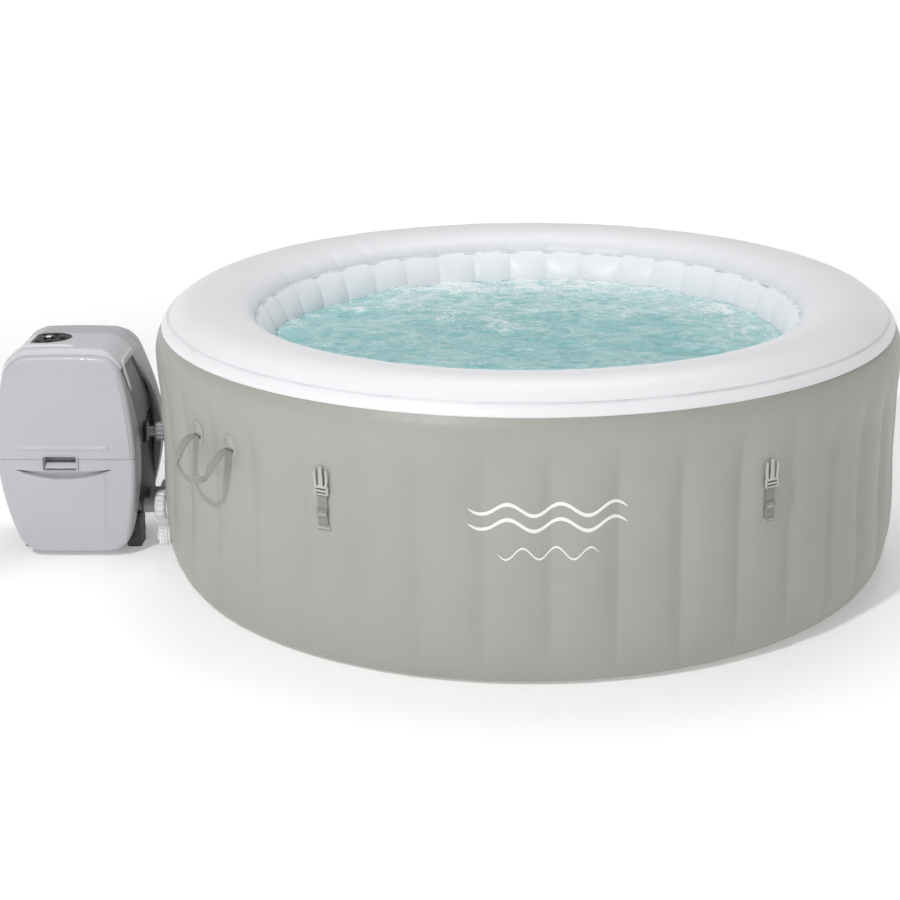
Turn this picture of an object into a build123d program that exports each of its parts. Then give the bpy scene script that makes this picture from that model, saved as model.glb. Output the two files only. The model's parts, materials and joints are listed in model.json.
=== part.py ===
from build123d import *

import os
from math import cos, degrees, radians, sin

os.makedirs("parts", exist_ok=True)

# Inflatable round hot tub with its side-mounted pump and heater unit, in millimetres.
# The frame: +Z up, origin on the floor at the tub's axis. The pump stands at -X, its front cover faces -Y.
# Angles round the tub are in degrees from -Y towards +X.

# ---------------------------------------------------------------- driving dimensions: tub
outer_r = 895  # outer wall, below the bulge under the rim
bulge_r, bulge_z = 900, 537
belt_z = 486  # joint between the wall's lower and upper panels
tub_h = 660
skin = 1.5  # laminated sheet
base_r = 834  # edge of the flat part the tub stands on
seam_r, seam_z = 879, 598  # where the rim's top sheet meets the wall
lip_r, lip_z = 662, 615  # inner edge of the rim
inner_r = 635  # inner wall
rib_count = 40  # tension strips between the two walls
rib_phase = 3  # angle of one strip
panel_count = 20  # panels that each skin is welded up from
outer_phase, inner_phase = 12, 9  # angle of one joint between panels, clear of the ports

# ---------------------------------------------------------------- driving dimensions: tub hardware
strap_angles = [-28.5, 34.5, 97.5, 151.5, 214.5, 268.5]
tab_z, tab_h = 328, 12  # the tab that welds each cover strap to the wall
strap_w, strap_t, strap_top = 25, 1.6, 418
buckle_z, buckle_w = 402.5, 35
handle_angles = [-50.25, 129.75]
handle_z, handle_half, handle_reach = 445, 67, 84
handle_tilt = 45  # from straight down, outwards
port_y, port_z, water_sleeve_r, water_bore_r = 41, 110, 25, 19  # water ports, each side of the pump's middle
air_z, air_sleeve_r, air_bore_r = 290, 17, 12.5
water_pipe_r, air_pipe_r = 19, 13  # the pump's own pipes, outside
stub_end = 918  # distance from the axis where each wall port ends and the pump's pipe begins
drain_angle, drain_z, drain_sleeve_r = -74, 108, 19
valve_angle, valve_z, valve_sleeve_r = -135, 415, 20

# ---------------------------------------------------------------- driving dimensions: pump
pump_x = -1120
half_mid, half_top, half_bottom = 168, 127, 122  # barrel outline, half widths
z_low, z_mid, z_high = 15, 275, 528
roof_rise = 5
corner_r = 46
band_front, band_rear = 66, 100  # the middle body runs from the one cover to the other
pump_front = 155  # half depth of the pump at its fullest
bow_r = 1100  # radius of the covers' bow
shell = 3.5
recess = 8  # how far the sides of the middle body stand back
edge_r = 26  # rounding of the covers' front edge
split_z = 266  # between the upper and the lower front cover
roof_z, waist_z = 470, 262  # roof cap above, base frame below
grip_x, grip_z, grip_w, grip_h = -15, 257, 90, 40
panel_x, panel_long, panel_wide = -58, 62, 50  # control panel's centre and half sizes
gap = 0.3  # between pieces that move past each other

wall_face = outer_r + skin / 2


def out(angle):
    """Unit vector straight out of the tub's wall."""
    return Vector(sin(radians(angle)), -cos(radians(angle)), 0)


def along(angle):
    """Unit vector along the tub's wall, counter-clockwise from above."""
    return Vector(cos(radians(angle)), sin(radians(angle)), 0)


def wall_plane(angle, radius, z):
    """A plane facing out of the wall, with its y direction up."""
    return Plane(origin=out(angle) * radius + Vector(0, 0, z), x_dir=along(angle), z_dir=out(angle))


def port_plane(distance, y, z):
    """A plane facing the pump, -X, at that distance from the tub's axis."""
    return Plane(origin=(-distance, y, z), x_dir=(0, -1, 0), z_dir=(-1, 0, 0))


def pump_plane(y):
    """A plane facing -Y on the pump's middle line, with its y direction up."""
    return Plane(origin=(pump_x, y, 0), x_dir=(1, 0, 0), z_dir=(0, -1, 0))


def disc(plane, depth, outside, inside=0.0, mode=Mode.ADD):
    """A disc or ring standing on a plane, in the part being built."""
    with BuildSketch(plane) as ring:
        Circle(outside)
        if inside:
            Circle(inside, mode=Mode.SUBTRACT)
    extrude(ring.sketch, amount=depth, mode=mode)


def save(piece, name):
    """Labels a finished piece and writes it as one STEP file."""
    piece.label = name
    export_step(piece, f"parts/{name}.step")


# ================================================================ tub skins
port_places = [(-port_y, port_z, water_sleeve_r), (port_y, port_z, water_sleeve_r), (0, air_z, air_sleeve_r)]
hole_start, hole_depth = outer_r - 60, 90  # holes through the outer wall alone


def cut_port_holes(clearance):
    """Cuts the three port sleeves' holes through whatever stands on the pump's side."""
    for y, z, r in port_places:
        disc(port_plane(560, y, z), 400, r + clearance, mode=Mode.SUBTRACT)


def cut_panels(phase):
    """Cuts a skin into its panels along upright planes through the tub's axis."""
    near, far = inner_r - 60, bulge_r + 20
    with BuildSketch() as joints:
        with PolarLocations((near + far) / 2, panel_count, start_angle=phase - 90):
            Rectangle(far - near, gap)
    extrude(joints.sketch, amount=tub_h + 10, mode=Mode.SUBTRACT)


with BuildPart() as floor_sheet:
    with BuildSketch():
        Circle(base_r - 1)
    extrude(amount=skin)
save(floor_sheet.part, "floor_sheet")

with BuildPart() as outer_wall:
    with BuildSketch(Plane.XZ):
        with BuildLine():
            heel = ThreePointArc((base_r, skin / 2), (878.1, 33), (outer_r, 85))
            side = Line(heel @ 1, (outer_r, 488))
            ThreePointArc(side @ 1, (bulge_r - skin / 2, bulge_z), (seam_r + 0.6, seam_z - 1.2))
        trace(line_width=skin)
    revolve(axis=Axis.Z)
    cut_port_holes(gap)
    disc(wall_plane(drain_angle, hole_start, drain_z), hole_depth, drain_sleeve_r + gap, mode=Mode.SUBTRACT)
    disc(wall_plane(valve_angle, hole_start, valve_z), hole_depth, valve_sleeve_r + gap, mode=Mode.SUBTRACT)
    cut_panels(outer_phase)
    with BuildSketch(Plane.XY.offset(belt_z)) as belt:
        Circle(bulge_r + 20)
        Circle(base_r, mode=Mode.SUBTRACT)
    extrude(belt.sketch, amount=gap, mode=Mode.SUBTRACT)
save(outer_wall.part, "outer_wall")

with BuildPart() as top_ring:
    with BuildSketch(Plane.XZ):
        with BuildLine():
            Spline((seam_r - 0.6, seam_z + 1.2), (846, 639), (775, tub_h - 0.9), (700, 644), (lip_r, lip_z))
        trace(line_width=skin)
    revolve(axis=Axis.Z)
    cut_panels(outer_phase)
save(top_ring.part, "top_ring")

with BuildPart() as inner_wall:
    with BuildSketch(Plane.XZ):
        with BuildLine():
            shoulder = ThreePointArc((lip_r - 1.5, lip_z - 1.8), (643, 597), (inner_r, 568))
            Line(shoulder @ 1, (inner_r, 3.2))
        trace(line_width=skin)
    revolve(axis=Axis.Z)
    cut_port_holes(gap)
    cut_panels(inner_phase)
save(inner_wall.part, "inner_wall")

strip_in, strip_out, strip_t = inner_r + 2, outer_r - 12, 1.2
with BuildPart() as wall_baffles:
    with BuildSketch(Plane.XY.offset(100)):
        with PolarLocations((strip_in + strip_out) / 2, rib_count, start_angle=rib_phase - 90):
            Rectangle(strip_out - strip_in, strip_t)
    extrude(amount=450)
    cut_port_holes(3)
    disc(wall_plane(drain_angle, hole_start, drain_z), hole_depth, drain_sleeve_r + 3, mode=Mode.SUBTRACT)
    disc(wall_plane(valve_angle, hole_start, valve_z), hole_depth, valve_sleeve_r + 3, mode=Mode.SUBTRACT)
save(wall_baffles.part, "wall_baffles")

jet_count, jet_r = 40, 2.5
with BuildPart() as bubble_channel:
    with BuildSketch(Plane.XZ):
        with BuildLine():
            ThreePointArc((596, 3), (607, 33), (632, 43))
        trace(line_width=skin)
    revolve(axis=Axis.Z)
    with BuildSketch(Plane.XY) as jet_holes:
        with PolarLocations(612, jet_count, start_angle=inner_phase - 85.5):
            Circle(jet_r)
    extrude(jet_holes.sketch, amount=60, mode=Mode.SUBTRACT)
    cut_panels(inner_phase)
save(bubble_channel.part, "bubble_channel")

# ================================================================ carry handles and cover straps
patch_step = degrees(handle_half / outer_r)
patch_t, tab_t = 1.4, 2.4
with BuildPart() as wall_patches:
    for angle in handle_angles:
        for turn in (-patch_step, patch_step):
            with BuildSketch(wall_plane(angle + turn, wall_face + 0.2, handle_z + 4)):
                Ellipse(21, 30)
            extrude(amount=patch_t)
    for angle in strap_angles:
        with BuildSketch(wall_plane(angle, wall_face + 0.2, tab_z)):
            RectangleRounded(strap_w + 6, tab_h, 3)
        extrude(amount=tab_t)
save(wall_patches.part, "wall_patches")

web_t, web_w, root_w, root_l = 3, 26, 8, 18
tilt = radians(handle_tilt)
for number, angle in enumerate(handle_angles, 1):
    pivot = out(angle) * (wall_face + 6) + Vector(0, 0, handle_z)
    face = out(angle) * cos(tilt) + Vector(0, 0, sin(tilt))
    loop_plane = Plane(origin=pivot, x_dir=along(angle), z_dir=face)
    with BuildPart() as handle:
        with BuildSketch(loop_plane) as loop:
            with BuildLine():
                ThreePointArc((-handle_half, 0), (0, -handle_reach), (handle_half, 0))
            trace(line_width=web_t)
        extrude(amount=web_w / 2, both=True)
        with BuildSketch(loop_plane) as roots:
            Rectangle(3 * handle_half, 2 * root_l)
        extrude(roots.sketch, amount=web_w, both=True, mode=Mode.SUBTRACT)
        extrude(loop.sketch, amount=root_w / 2, both=True)
    save(handle.part, f"handle_strap_{number}")


def buckle_outline(plane):
    """The male half of a side-release buckle: slotted base, two sprung arms and a tapered guide."""
    with BuildSketch(plane) as body:
        with Locations((0, 10)):
            RectangleRounded(buckle_w, 20, 2.5)
        with Locations((0, 5), (0, 13)):
            Rectangle(strap_w + 1.5, 3.2, mode=Mode.SUBTRACT)
        with BuildLine():
            Polyline((-6, 19.5), (-2.8, 58), (2.8, 58), (6, 19.5), close=True)
        make_face()
        with Locations((0, 58)):
            Circle(4)
        for s in (-1, 1):
            with BuildLine():
                Polyline(
                    (10 * s, 19.5), (15.5 * s, 19.5), (17 * s, 47), (14 * s, 56), (11.5 * s, 47), close=True
                )
            make_face()
    return body.sketch


for number, angle in enumerate(strap_angles, 1):
    strap_foot = tab_z + tab_h / 2 + 1.3
    with BuildPart() as strap:
        with BuildSketch(wall_plane(angle, wall_face + 0.6, (strap_foot + strap_top) / 2)):
            Rectangle(strap_w, strap_top - strap_foot)
        extrude(amount=strap_t)
    save(strap.part, f"cover_strap_{number}")
    with BuildPart() as clip:
        extrude(buckle_outline(wall_plane(angle, wall_face + 0.9 + strap_t, buckle_z)), amount=5)
    save(clip.part, f"buckle_{number}")

# ================================================================ ports, nuts and valves
sleeve_in, flange_t = 625, 4
flange_at = wall_face + 1.2
water_flange_r, air_flange_r = 37, 28


def port(y, z, outside, inside, flange_r):
    """A sleeve through both walls with a flange on each side."""
    disc(port_plane(sleeve_in, y, z), stub_end - sleeve_in, outside, inside)
    for distance in (sleeve_in, flange_at):
        disc(port_plane(distance, y, z), flange_t, flange_r, inside)


with BuildPart() as water_inlet_port:
    port(-port_y, port_z, water_sleeve_r, water_bore_r, water_flange_r)
save(water_inlet_port.part, "water_inlet_port")
with BuildPart() as water_outlet_port:
    port(port_y, port_z, water_sleeve_r, water_bore_r, water_flange_r)
save(water_outlet_port.part, "water_outlet_port")
with BuildPart() as air_port:
    port(0, air_z, air_sleeve_r, air_bore_r, air_flange_r)
save(air_port.part, "air_port")

with BuildPart() as port_gaskets:
    for (y, z, r), outside in zip(port_places, (water_flange_r - 1, water_flange_r - 1, air_flange_r - 1)):
        disc(port_plane(wall_face + 0.2, y, z), 0.9, outside, r + 0.2)
save(port_gaskets.part, "port_gaskets")


def coupling_nut(y, z, stub_r, pipe_r, outside, lobes):
    """A hand nut: it runs on the port's stub and its lip hooks behind the pipe's collar."""
    start, lip, end = stub_end - 14, stub_end + 5.4, stub_end + 14
    with BuildSketch(port_plane(start, y, z)) as grip:
        Circle(outside - 3)
        with PolarLocations(outside - 4, lobes):
            Circle(4)
    extrude(grip.sketch, amount=end - start)
    disc(port_plane(start, y, z), lip - start, stub_r + gap, mode=Mode.SUBTRACT)
    disc(port_plane(start, y, z), end - start, pipe_r + gap, mode=Mode.SUBTRACT)


for name, y in (("inlet_nut", -port_y), ("outlet_nut", port_y)):
    with BuildPart() as nut:
        coupling_nut(y, port_z, water_sleeve_r, water_pipe_r, 38, 14)
    save(nut.part, name)
with BuildPart() as air_nut:
    coupling_nut(0, air_z, air_sleeve_r, air_pipe_r, 27, 10)
save(air_nut.part, "air_nut")

with BuildPart() as debris_screen:
    with BuildSketch(port_plane(sleeve_in - flange_t, port_y, port_z)):
        Circle(36)
        with GridLocations(9, 9, 6, 6):
            Rectangle(5, 5, mode=Mode.SUBTRACT)
    extrude(amount=flange_t - 0.2)
save(debris_screen.part, "debris_screen")

filter_r, filter_l, filter_far = 44, 76, sleeve_in - 4.4
filter_near = filter_far - filter_l
with BuildPart() as filter_housing:
    disc(port_plane(filter_near, -port_y, port_z), filter_l, filter_r, filter_r - 3)
    disc(port_plane(filter_far - 4, -port_y, port_z), 4, filter_r, 19)
    with BuildSketch(port_plane(filter_near, -port_y, port_z)):
        Circle(filter_r)
        with PolarLocations(26, 10):
            Circle(5.5, mode=Mode.SUBTRACT)
    extrude(amount=4)
save(filter_housing.part, "filter_housing")

pleats = 24
with BuildPart() as filter_cartridge:
    with BuildSketch(port_plane(filter_near + 5, -port_y, port_z)):
        Circle(28)
        with PolarLocations(31, pleats):
            Rectangle(16, 3.2)
        Circle(18, mode=Mode.SUBTRACT)
    extrude(amount=filter_l - 10)
save(filter_cartridge.part, "filter_cartridge")

with BuildPart() as drain_valve:
    disc(wall_plane(drain_angle, wall_face + 1.0, drain_z), 5, 26, 13)
    disc(wall_plane(drain_angle, wall_face - 30, drain_z), 50, drain_sleeve_r, 13)
save(drain_valve.part, "drain_valve")


def screw_cap(base, thread_r, outside, depth, lobes):
    """A screw cap: a ribbed skirt closed at its outer end, with a finger bar across it."""
    with BuildSketch(base) as skirt:
        Circle(outside - 1.5)
        with PolarLocations(outside - 2.5, lobes):
            Circle(2.5)
    extrude(skirt.sketch, amount=depth)
    disc(base, depth - 3, thread_r + gap, mode=Mode.SUBTRACT)
    with BuildSketch(base.offset(depth)) as bar:
        RectangleRounded(outside * 1.5, 6, 2.5)
    extrude(bar.sketch, amount=4)


with BuildPart() as drain_cap:
    screw_cap(wall_plane(drain_angle, wall_face + 6.4, drain_z), drain_sleeve_r, 24, 19, 18)
save(drain_cap.part, "drain_cap")

with BuildPart() as air_valve:
    disc(wall_plane(valve_angle, wall_face + 1.0, valve_z), 3, 30, 14)
    disc(wall_plane(valve_angle, wall_face - 22, valve_z), 34, valve_sleeve_r, 14)
save(air_valve.part, "air_valve")
with BuildPart() as air_valve_cap:
    screw_cap(wall_plane(valve_angle, wall_face + 4.4, valve_z), valve_sleeve_r, 25, 12, 20)
save(air_valve_cap.part, "air_valve_cap")


# ================================================================ pump casing
def barrel(y, inset=0.0):
    """The pump's barrel outline on a plane facing -Y, drawn smaller by inset."""
    bottom, middle, top = half_bottom - inset, half_mid - inset, half_top - inset
    with BuildSketch(pump_plane(y)) as outline:
        with BuildLine():
            right = ThreePointArc((bottom, z_low + inset), (middle, z_mid), (top, z_high - inset))
            roof = ThreePointArc(right @ 1, (0, z_high + roof_rise - inset), (-top, z_high - inset))
            left = ThreePointArc(roof @ 1, (-middle, z_mid), (-bottom, z_low + inset))
            Line(left @ 1, right @ 0)
        make_face()
        fillet(outline.vertices(), max(corner_r - inset, 6))
    return outline.sketch


def bowed(inset, rear):
    """A cover's bulk, from its flat rear to its bowed and rounded front."""
    extrude(barrel(-rear, inset), amount=pump_front - rear)
    with Locations((pump_x, bow_r - pump_front, z_mid)):
        Cylinder(bow_r - inset, 700, rotation=(0, 90, 0), mode=Mode.INTERSECT)
    front = faces().sort_by(Axis.Y)[0]
    fillet(front.edges(), edge_r - inset)


def cover(rear):
    """A hollow front or rear cover, made facing -Y, with a flange round its open side."""
    with BuildPart() as cavity:
        bowed(shell, rear + shell)
    with BuildPart() as hollow:
        bowed(0, rear)
        add(cavity.part, mode=Mode.SUBTRACT)
        extrude(barrel(-rear, recess + 8), amount=shell, mode=Mode.SUBTRACT)
    return hollow.part


gland_z, gland_y = 60, 118
gland_plane = Plane(origin=(pump_x, gland_y, gland_z), x_dir=(1, 0, 0), z_dir=(0, 1, 0))
with BuildPart() as rear_cover:
    add(mirror(cover(band_rear), about=Plane.XZ))
    disc(gland_plane, 30, 9.3, mode=Mode.SUBTRACT)
save(rear_cover.part, "rear_cover")


def grip_block(clearance):
    """The grip's opening through the front covers, on a plane behind them."""
    with BuildSketch(pump_plane(-pump_front + 34)) as opening:
        with Locations((grip_x, grip_z)):
            RectangleRounded(grip_w + 2 * clearance, grip_h + 2 * clearance, 7)
    return opening.sketch


def part_beside_grip():
    """Cut a front cover just inside the grip's two sides, into left, middle and right."""
    near, far = grip_x - grip_w / 2 + 1, grip_x + grip_w / 2 - 1
    with Locations((pump_x + near, -band_front, z_mid), (pump_x + far, -band_front, z_mid)):
        Box(gap, 2 * pump_front, 2 * z_high, mode=Mode.SUBTRACT)


front_cover = cover(band_front)
with BuildPart() as front_cover_upper:
    add(front_cover)
    split(bisect_by=Plane.XY.offset(split_z + 0.4), keep=Keep.TOP)
    extrude(grip_block(gap), amount=60, mode=Mode.SUBTRACT)
    part_beside_grip()
save(front_cover_upper.part, "front_cover_upper")

with BuildPart() as front_cover_lower:
    add(front_cover)
    split(bisect_by=Plane.XY.offset(split_z - 0.4), keep=Keep.BOTTOM)
    extrude(grip_block(gap), amount=60, mode=Mode.SUBTRACT)
    part_beside_grip()
save(front_cover_lower.part, "front_cover_lower")

with BuildPart() as grip_recess:
    extrude(grip_block(0), amount=34)
    with BuildSketch(pump_plane(-pump_front + 30)) as pocket:
        with Locations((grip_x, grip_z)):
            RectangleRounded(grip_w - 8, grip_h - 8, 5)
    extrude(pocket.sketch, amount=40, mode=Mode.SUBTRACT)
save(grip_recess.part, "grip_recess")

body_rear = band_rear - 0.2
body_depth = band_front + band_rear - 0.4
body_y = (band_rear - band_front) / 2


def body_slab(low, high, mode):
    """A slab across the whole middle body between two heights."""
    with BuildSketch(Plane.XY.offset(low)) as area:
        with Locations((pump_x, body_y)):
            Rectangle(2 * half_mid, body_depth)
    extrude(area.sketch, amount=high - low, mode=mode)


with BuildPart() as roof_ledge:
    extrude(barrel(body_rear, 1), amount=body_depth)
    extrude(barrel(body_rear, recess + shell), amount=body_depth, mode=Mode.SUBTRACT)
    body_slab(roof_z, roof_z + shell, Mode.INTERSECT)
with BuildPart() as roof_cap:
    extrude(barrel(body_rear), amount=body_depth)
    extrude(barrel(body_rear, shell), amount=body_depth, mode=Mode.SUBTRACT)
    body_slab(roof_z, roof_z + 100, Mode.INTERSECT)
    add(roof_ledge.part)
save(roof_cap.part, "roof_cap")

with BuildPart() as side_panels:
    extrude(barrel(body_rear, recess), amount=body_depth)
    extrude(barrel(body_rear, recess + shell), amount=body_depth, mode=Mode.SUBTRACT)
    body_slab(waist_z + 0.2, roof_z - 0.2, Mode.INTERSECT)
    disc(port_plane(900, 0, air_z), 200, air_pipe_r + gap, mode=Mode.SUBTRACT)
save(side_panels.part, "side_panels")

base_half, keel_half, keel_z, hip_z, keel_top = half_mid - recess, 128, 24, 98, 78
leg_half, foot_h = 147, 3


def base_outline(wall):
    """The base frame's section: straight sides above, a narrower keel below."""
    side, keel = base_half - wall, keel_half - wall
    with BuildSketch(pump_plane(body_rear)) as section:
        with BuildLine():
            Polyline(
                (side, waist_z - 0.2 + wall), (side, hip_z + wall / 2), (keel, keel_top + wall / 2),
                (keel, keel_z + wall), (-keel, keel_z + wall), (-keel, keel_top + wall / 2),
                (-side, hip_z + wall / 2), (-side, waist_z - 0.2 + wall), close=True,
            )
        make_face()
    return section.sketch


volute_x, volute_r = -1075, 44
heater_y, heater_r = 45, 30
blower_x, blower_r, blower_z = -1100, 62, 306
shelf_z = 225
with BuildPart() as base_frame:
    extrude(base_outline(0), amount=body_depth)
    extrude(base_outline(shell), amount=body_depth, mode=Mode.SUBTRACT)
    with BuildSketch(Plane.XY.offset(shelf_z)) as shelf:
        with Locations((pump_x, body_y)):
            Rectangle(2 * base_half - shell, body_depth)
    extrude(shelf.sketch, amount=3)
    with BuildSketch(Plane.XY.offset(shelf_z + 3)) as cradle:
        with Locations((blower_x - 40, 0), (blower_x + 40, 0)):
            Rectangle(10, 60)
    extrude(cradle.sketch, amount=40)
    with BuildSketch(Plane.XY.offset(keel_z + 2)) as saddles:
        with Locations((volute_x - 20, 0), (volute_x + 20, 0)):
            Rectangle(8, 2 * band_front - 6)
    extrude(saddles.sketch, amount=70)
    with BuildSketch(Plane.XY.offset(foot_h + 0.2)) as legs:
        for s in (-1, 1):
            with Locations((pump_x + s * (leg_half - 19), -20)):
                RectangleRounded(38, 58, 6)
            with Locations((pump_x + s * 100, 74)):
                RectangleRounded(36, 40, 6)
    extrude(legs.sketch, amount=keel_z - foot_h + 1)
    with BuildSketch(Plane.XY.offset(keel_z)) as shins:
        for s in (-1, 1):
            with Locations((pump_x + s * (keel_half + 8), -20)):
                Rectangle(22, 58)
    extrude(shins.sketch, amount=keel_top - keel_z + 4)
    with Locations((blower_x, 0, blower_z)):
        Cylinder(blower_r + 0.2, 70.4, rotation=(90, 0, 0), mode=Mode.SUBTRACT)
    disc(port_plane(-volute_x - 60, -port_y, port_z), 180, volute_r + 0.2, mode=Mode.SUBTRACT)
    disc(port_plane(-volute_x - 60, heater_y, port_z), 180, heater_r + 0.2, mode=Mode.SUBTRACT)
    for y in (-port_y, port_y):
        disc(port_plane(900, y, port_z), 120, water_pipe_r + gap, mode=Mode.SUBTRACT)
save(base_frame.part, "base_frame")

with BuildPart() as feet:
    with BuildSketch() as pads:
        for s in (-1, 1):
            with Locations((pump_x + s * (leg_half - 19), -20)):
                RectangleRounded(32, 52, 6)
            with Locations((pump_x + s * 100, 74)):
                RectangleRounded(30, 34, 6)
    extrude(pads.sketch, amount=foot_h)
save(feet.part, "feet")

screw_places = [(-132.7, 60), (132.7, 60), (-147.1, 440), (147.1, 440)]
screw_r, screw_h = 2.8, 3
with BuildPart() as cover_screws:
    for y, facing in ((-band_front + 0.2, 1), (band_rear - 0.2, -1)):
        for x, z in screw_places:
            seat = Plane(origin=(pump_x + x, y, z), x_dir=(1, 0, 0), z_dir=(0, facing, 0))
            disc(seat, screw_h, screw_r)
save(cover_screws.part, "cover_screws")

# ================================================================ control panel
panel_y = -12


def roof_height(x):
    """Height of the roof at a distance from the pump's middle."""
    return z_high + roof_rise * (1 - (x / half_top) ** 2)


with BuildPart() as control_panel:
    extrude(barrel(panel_y + panel_wide, -2), amount=2 * panel_wide)
    extrude(barrel(panel_y + panel_wide, -0.3), amount=2 * panel_wide, mode=Mode.SUBTRACT)
    with BuildSketch(Plane.XY.offset(roof_z + 8)) as panel_outline:
        with Locations((pump_x + panel_x, panel_y)):
            Ellipse(panel_long, panel_wide)
    extrude(panel_outline.sketch, amount=100, mode=Mode.INTERSECT)
save(control_panel.part, "control_panel")

button_r, button_h = 6.5, 1.6
button_places = [(-16, -30), (10, -32), (-14, 30), (14, 30), (38, 0)]
for number, (x, y) in enumerate(button_places, 1):
    with BuildPart() as button:
        base_z = roof_height(panel_x + x) + 3.1
        disc(Plane((pump_x + panel_x + x, panel_y + y, base_z)), button_h, button_r)
        fillet(button.faces().sort_by(Axis.Z)[-1].edges(), 0.8)
    save(button.part, f"button_{number}")

display_x, display_long, display_wide = panel_x + 4, 13, 16
display_z = roof_height(display_x + display_long) + 2.3
with BuildPart() as display:
    with BuildSketch(Plane.XY.offset(display_z)):
        with Locations((pump_x + display_x, panel_y)):
            Ellipse(display_long, display_wide)
    extrude(amount=button_h)
    fillet(display.faces().sort_by(Axis.Z)[-1].edges(), 0.8)
save(display.part, "display")

# ================================================================ pump's inside
with BuildPart() as pump_pipes:
    for y, z, inside, pipe, collar, start in (
        (-port_y, port_z, 15, water_pipe_r, 24.4, -volute_x - 34),
        (port_y, port_z, 15, water_pipe_r, 24.4, -volute_x - 44),
        (0, air_z, 10, air_pipe_r, 16.4, -blower_x - blower_r - 14),
    ):
        disc(port_plane(stub_end + 0.3, y, z), 4.8, collar, inside)
        disc(port_plane(stub_end + 0.3, y, z), start - stub_end, pipe, inside)
save(pump_pipes.part, "pump_pipes")

volute_near = -volute_x - 32
with BuildPart() as pump_housing:
    disc(port_plane(volute_near, -port_y, port_z), 66, volute_r, volute_r - 4)
    disc(port_plane(volute_near, -port_y, port_z), 4, volute_r, 15)
    disc(port_plane(volute_near + 62, -port_y, port_z), 4, volute_r, 5.05)
save(pump_housing.part, "pump_housing")

with BuildPart() as impeller:
    disc(port_plane(volute_near + 44, -port_y, port_z), 3, 35)
    with BuildSketch(port_plane(volute_near + 22, -port_y, port_z)):
        Circle(8)
        with PolarLocations(21, 7):
            Rectangle(28, 2.4, rotation=28)
    extrude(amount=22)
    disc(port_plane(volute_near + 46, -port_y, port_z), 36, 5)
save(impeller.part, "impeller")

motor_near = volute_near + 66.3
with BuildPart() as pump_motor:
    disc(port_plane(motor_near, -port_y, port_z), 72, 32)
    with BuildSketch(port_plane(motor_near + 6, -port_y, port_z)) as fins:
        with PolarLocations(33, 20):
            Rectangle(6, 2)
    extrude(fins.sketch, amount=58)
    disc(port_plane(motor_near, -port_y, port_z), 20, 5.3, mode=Mode.SUBTRACT)
save(pump_motor.part, "pump_motor")

heater_near = -volute_x - 43.7
with BuildPart() as heater:
    disc(port_plane(heater_near, heater_y, port_z), 150, heater_r, heater_r - 3)
    disc(port_plane(heater_near, heater_y, port_z), 3, heater_r, 15)
    disc(port_plane(heater_near + 147, heater_y, port_z), 3, heater_r)
save(heater.part, "heater")

with BuildPart() as blower_housing:
    with Locations((blower_x, 0, blower_z)):
        Cylinder(blower_r, 70, rotation=(90, 0, 0))
        Cylinder(blower_r - 3, 64, rotation=(90, 0, 0), mode=Mode.SUBTRACT)
    with Locations((blower_x, 34, blower_z)):
        Cylinder(26, 8, rotation=(90, 0, 0), mode=Mode.SUBTRACT)
    with Locations((blower_x, -34, blower_z)):
        Cylinder(4.05, 8, rotation=(90, 0, 0), mode=Mode.SUBTRACT)
    disc(port_plane(-blower_x - blower_r - 16, 0, air_z), 30, 10, mode=Mode.SUBTRACT)
save(blower_housing.part, "blower_housing")

with BuildPart() as blower_fan:
    with BuildSketch(Plane(origin=(blower_x, -24, blower_z), x_dir=(1, 0, 0), z_dir=(0, 1, 0))) as hub:
        Circle(52)
    extrude(hub.sketch, amount=3)
    with BuildSketch(Plane(origin=(blower_x, -22, blower_z), x_dir=(1, 0, 0), z_dir=(0, 1, 0))) as vanes:
        with PolarLocations(43, 24):
            Rectangle(14, 1.6, rotation=35)
    extrude(vanes.sketch, amount=38)
    with BuildSketch(Plane(origin=(blower_x, -44, blower_z), x_dir=(1, 0, 0), z_dir=(0, 1, 0))) as shaft:
        Circle(4)
    extrude(shaft.sketch, amount=22)
save(blower_fan.part, "blower_fan")

with BuildPart() as control_board:
    with BuildSketch(Plane.XY.offset(roof_z + 14)):
        with Locations((pump_x, 0)):
            Rectangle(150, 96)
    extrude(amount=1.6)
    with BuildSketch(Plane.XY.offset(roof_z + 15.6)):
        with Locations((pump_x - 40, -20), (pump_x + 10, 20), (pump_x + 48, -12)):
            Rectangle(22, 16)
    extrude(amount=12)
save(control_board.part, "control_board")

with BuildPart() as cable_gland:
    disc(gland_plane, 28, 9, 4.2)
    with BuildSketch(gland_plane.offset(18)) as hex_head:
        RegularPolygon(13, 6)
        Circle(4.2, mode=Mode.SUBTRACT)
    extrude(hex_head.sketch, amount=8)
save(cable_gland.part, "cable_gland")
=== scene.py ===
import json
import math

import bmesh
import bpy
import numpy as np
from mathutils import Matrix, Vector, noise


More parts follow.
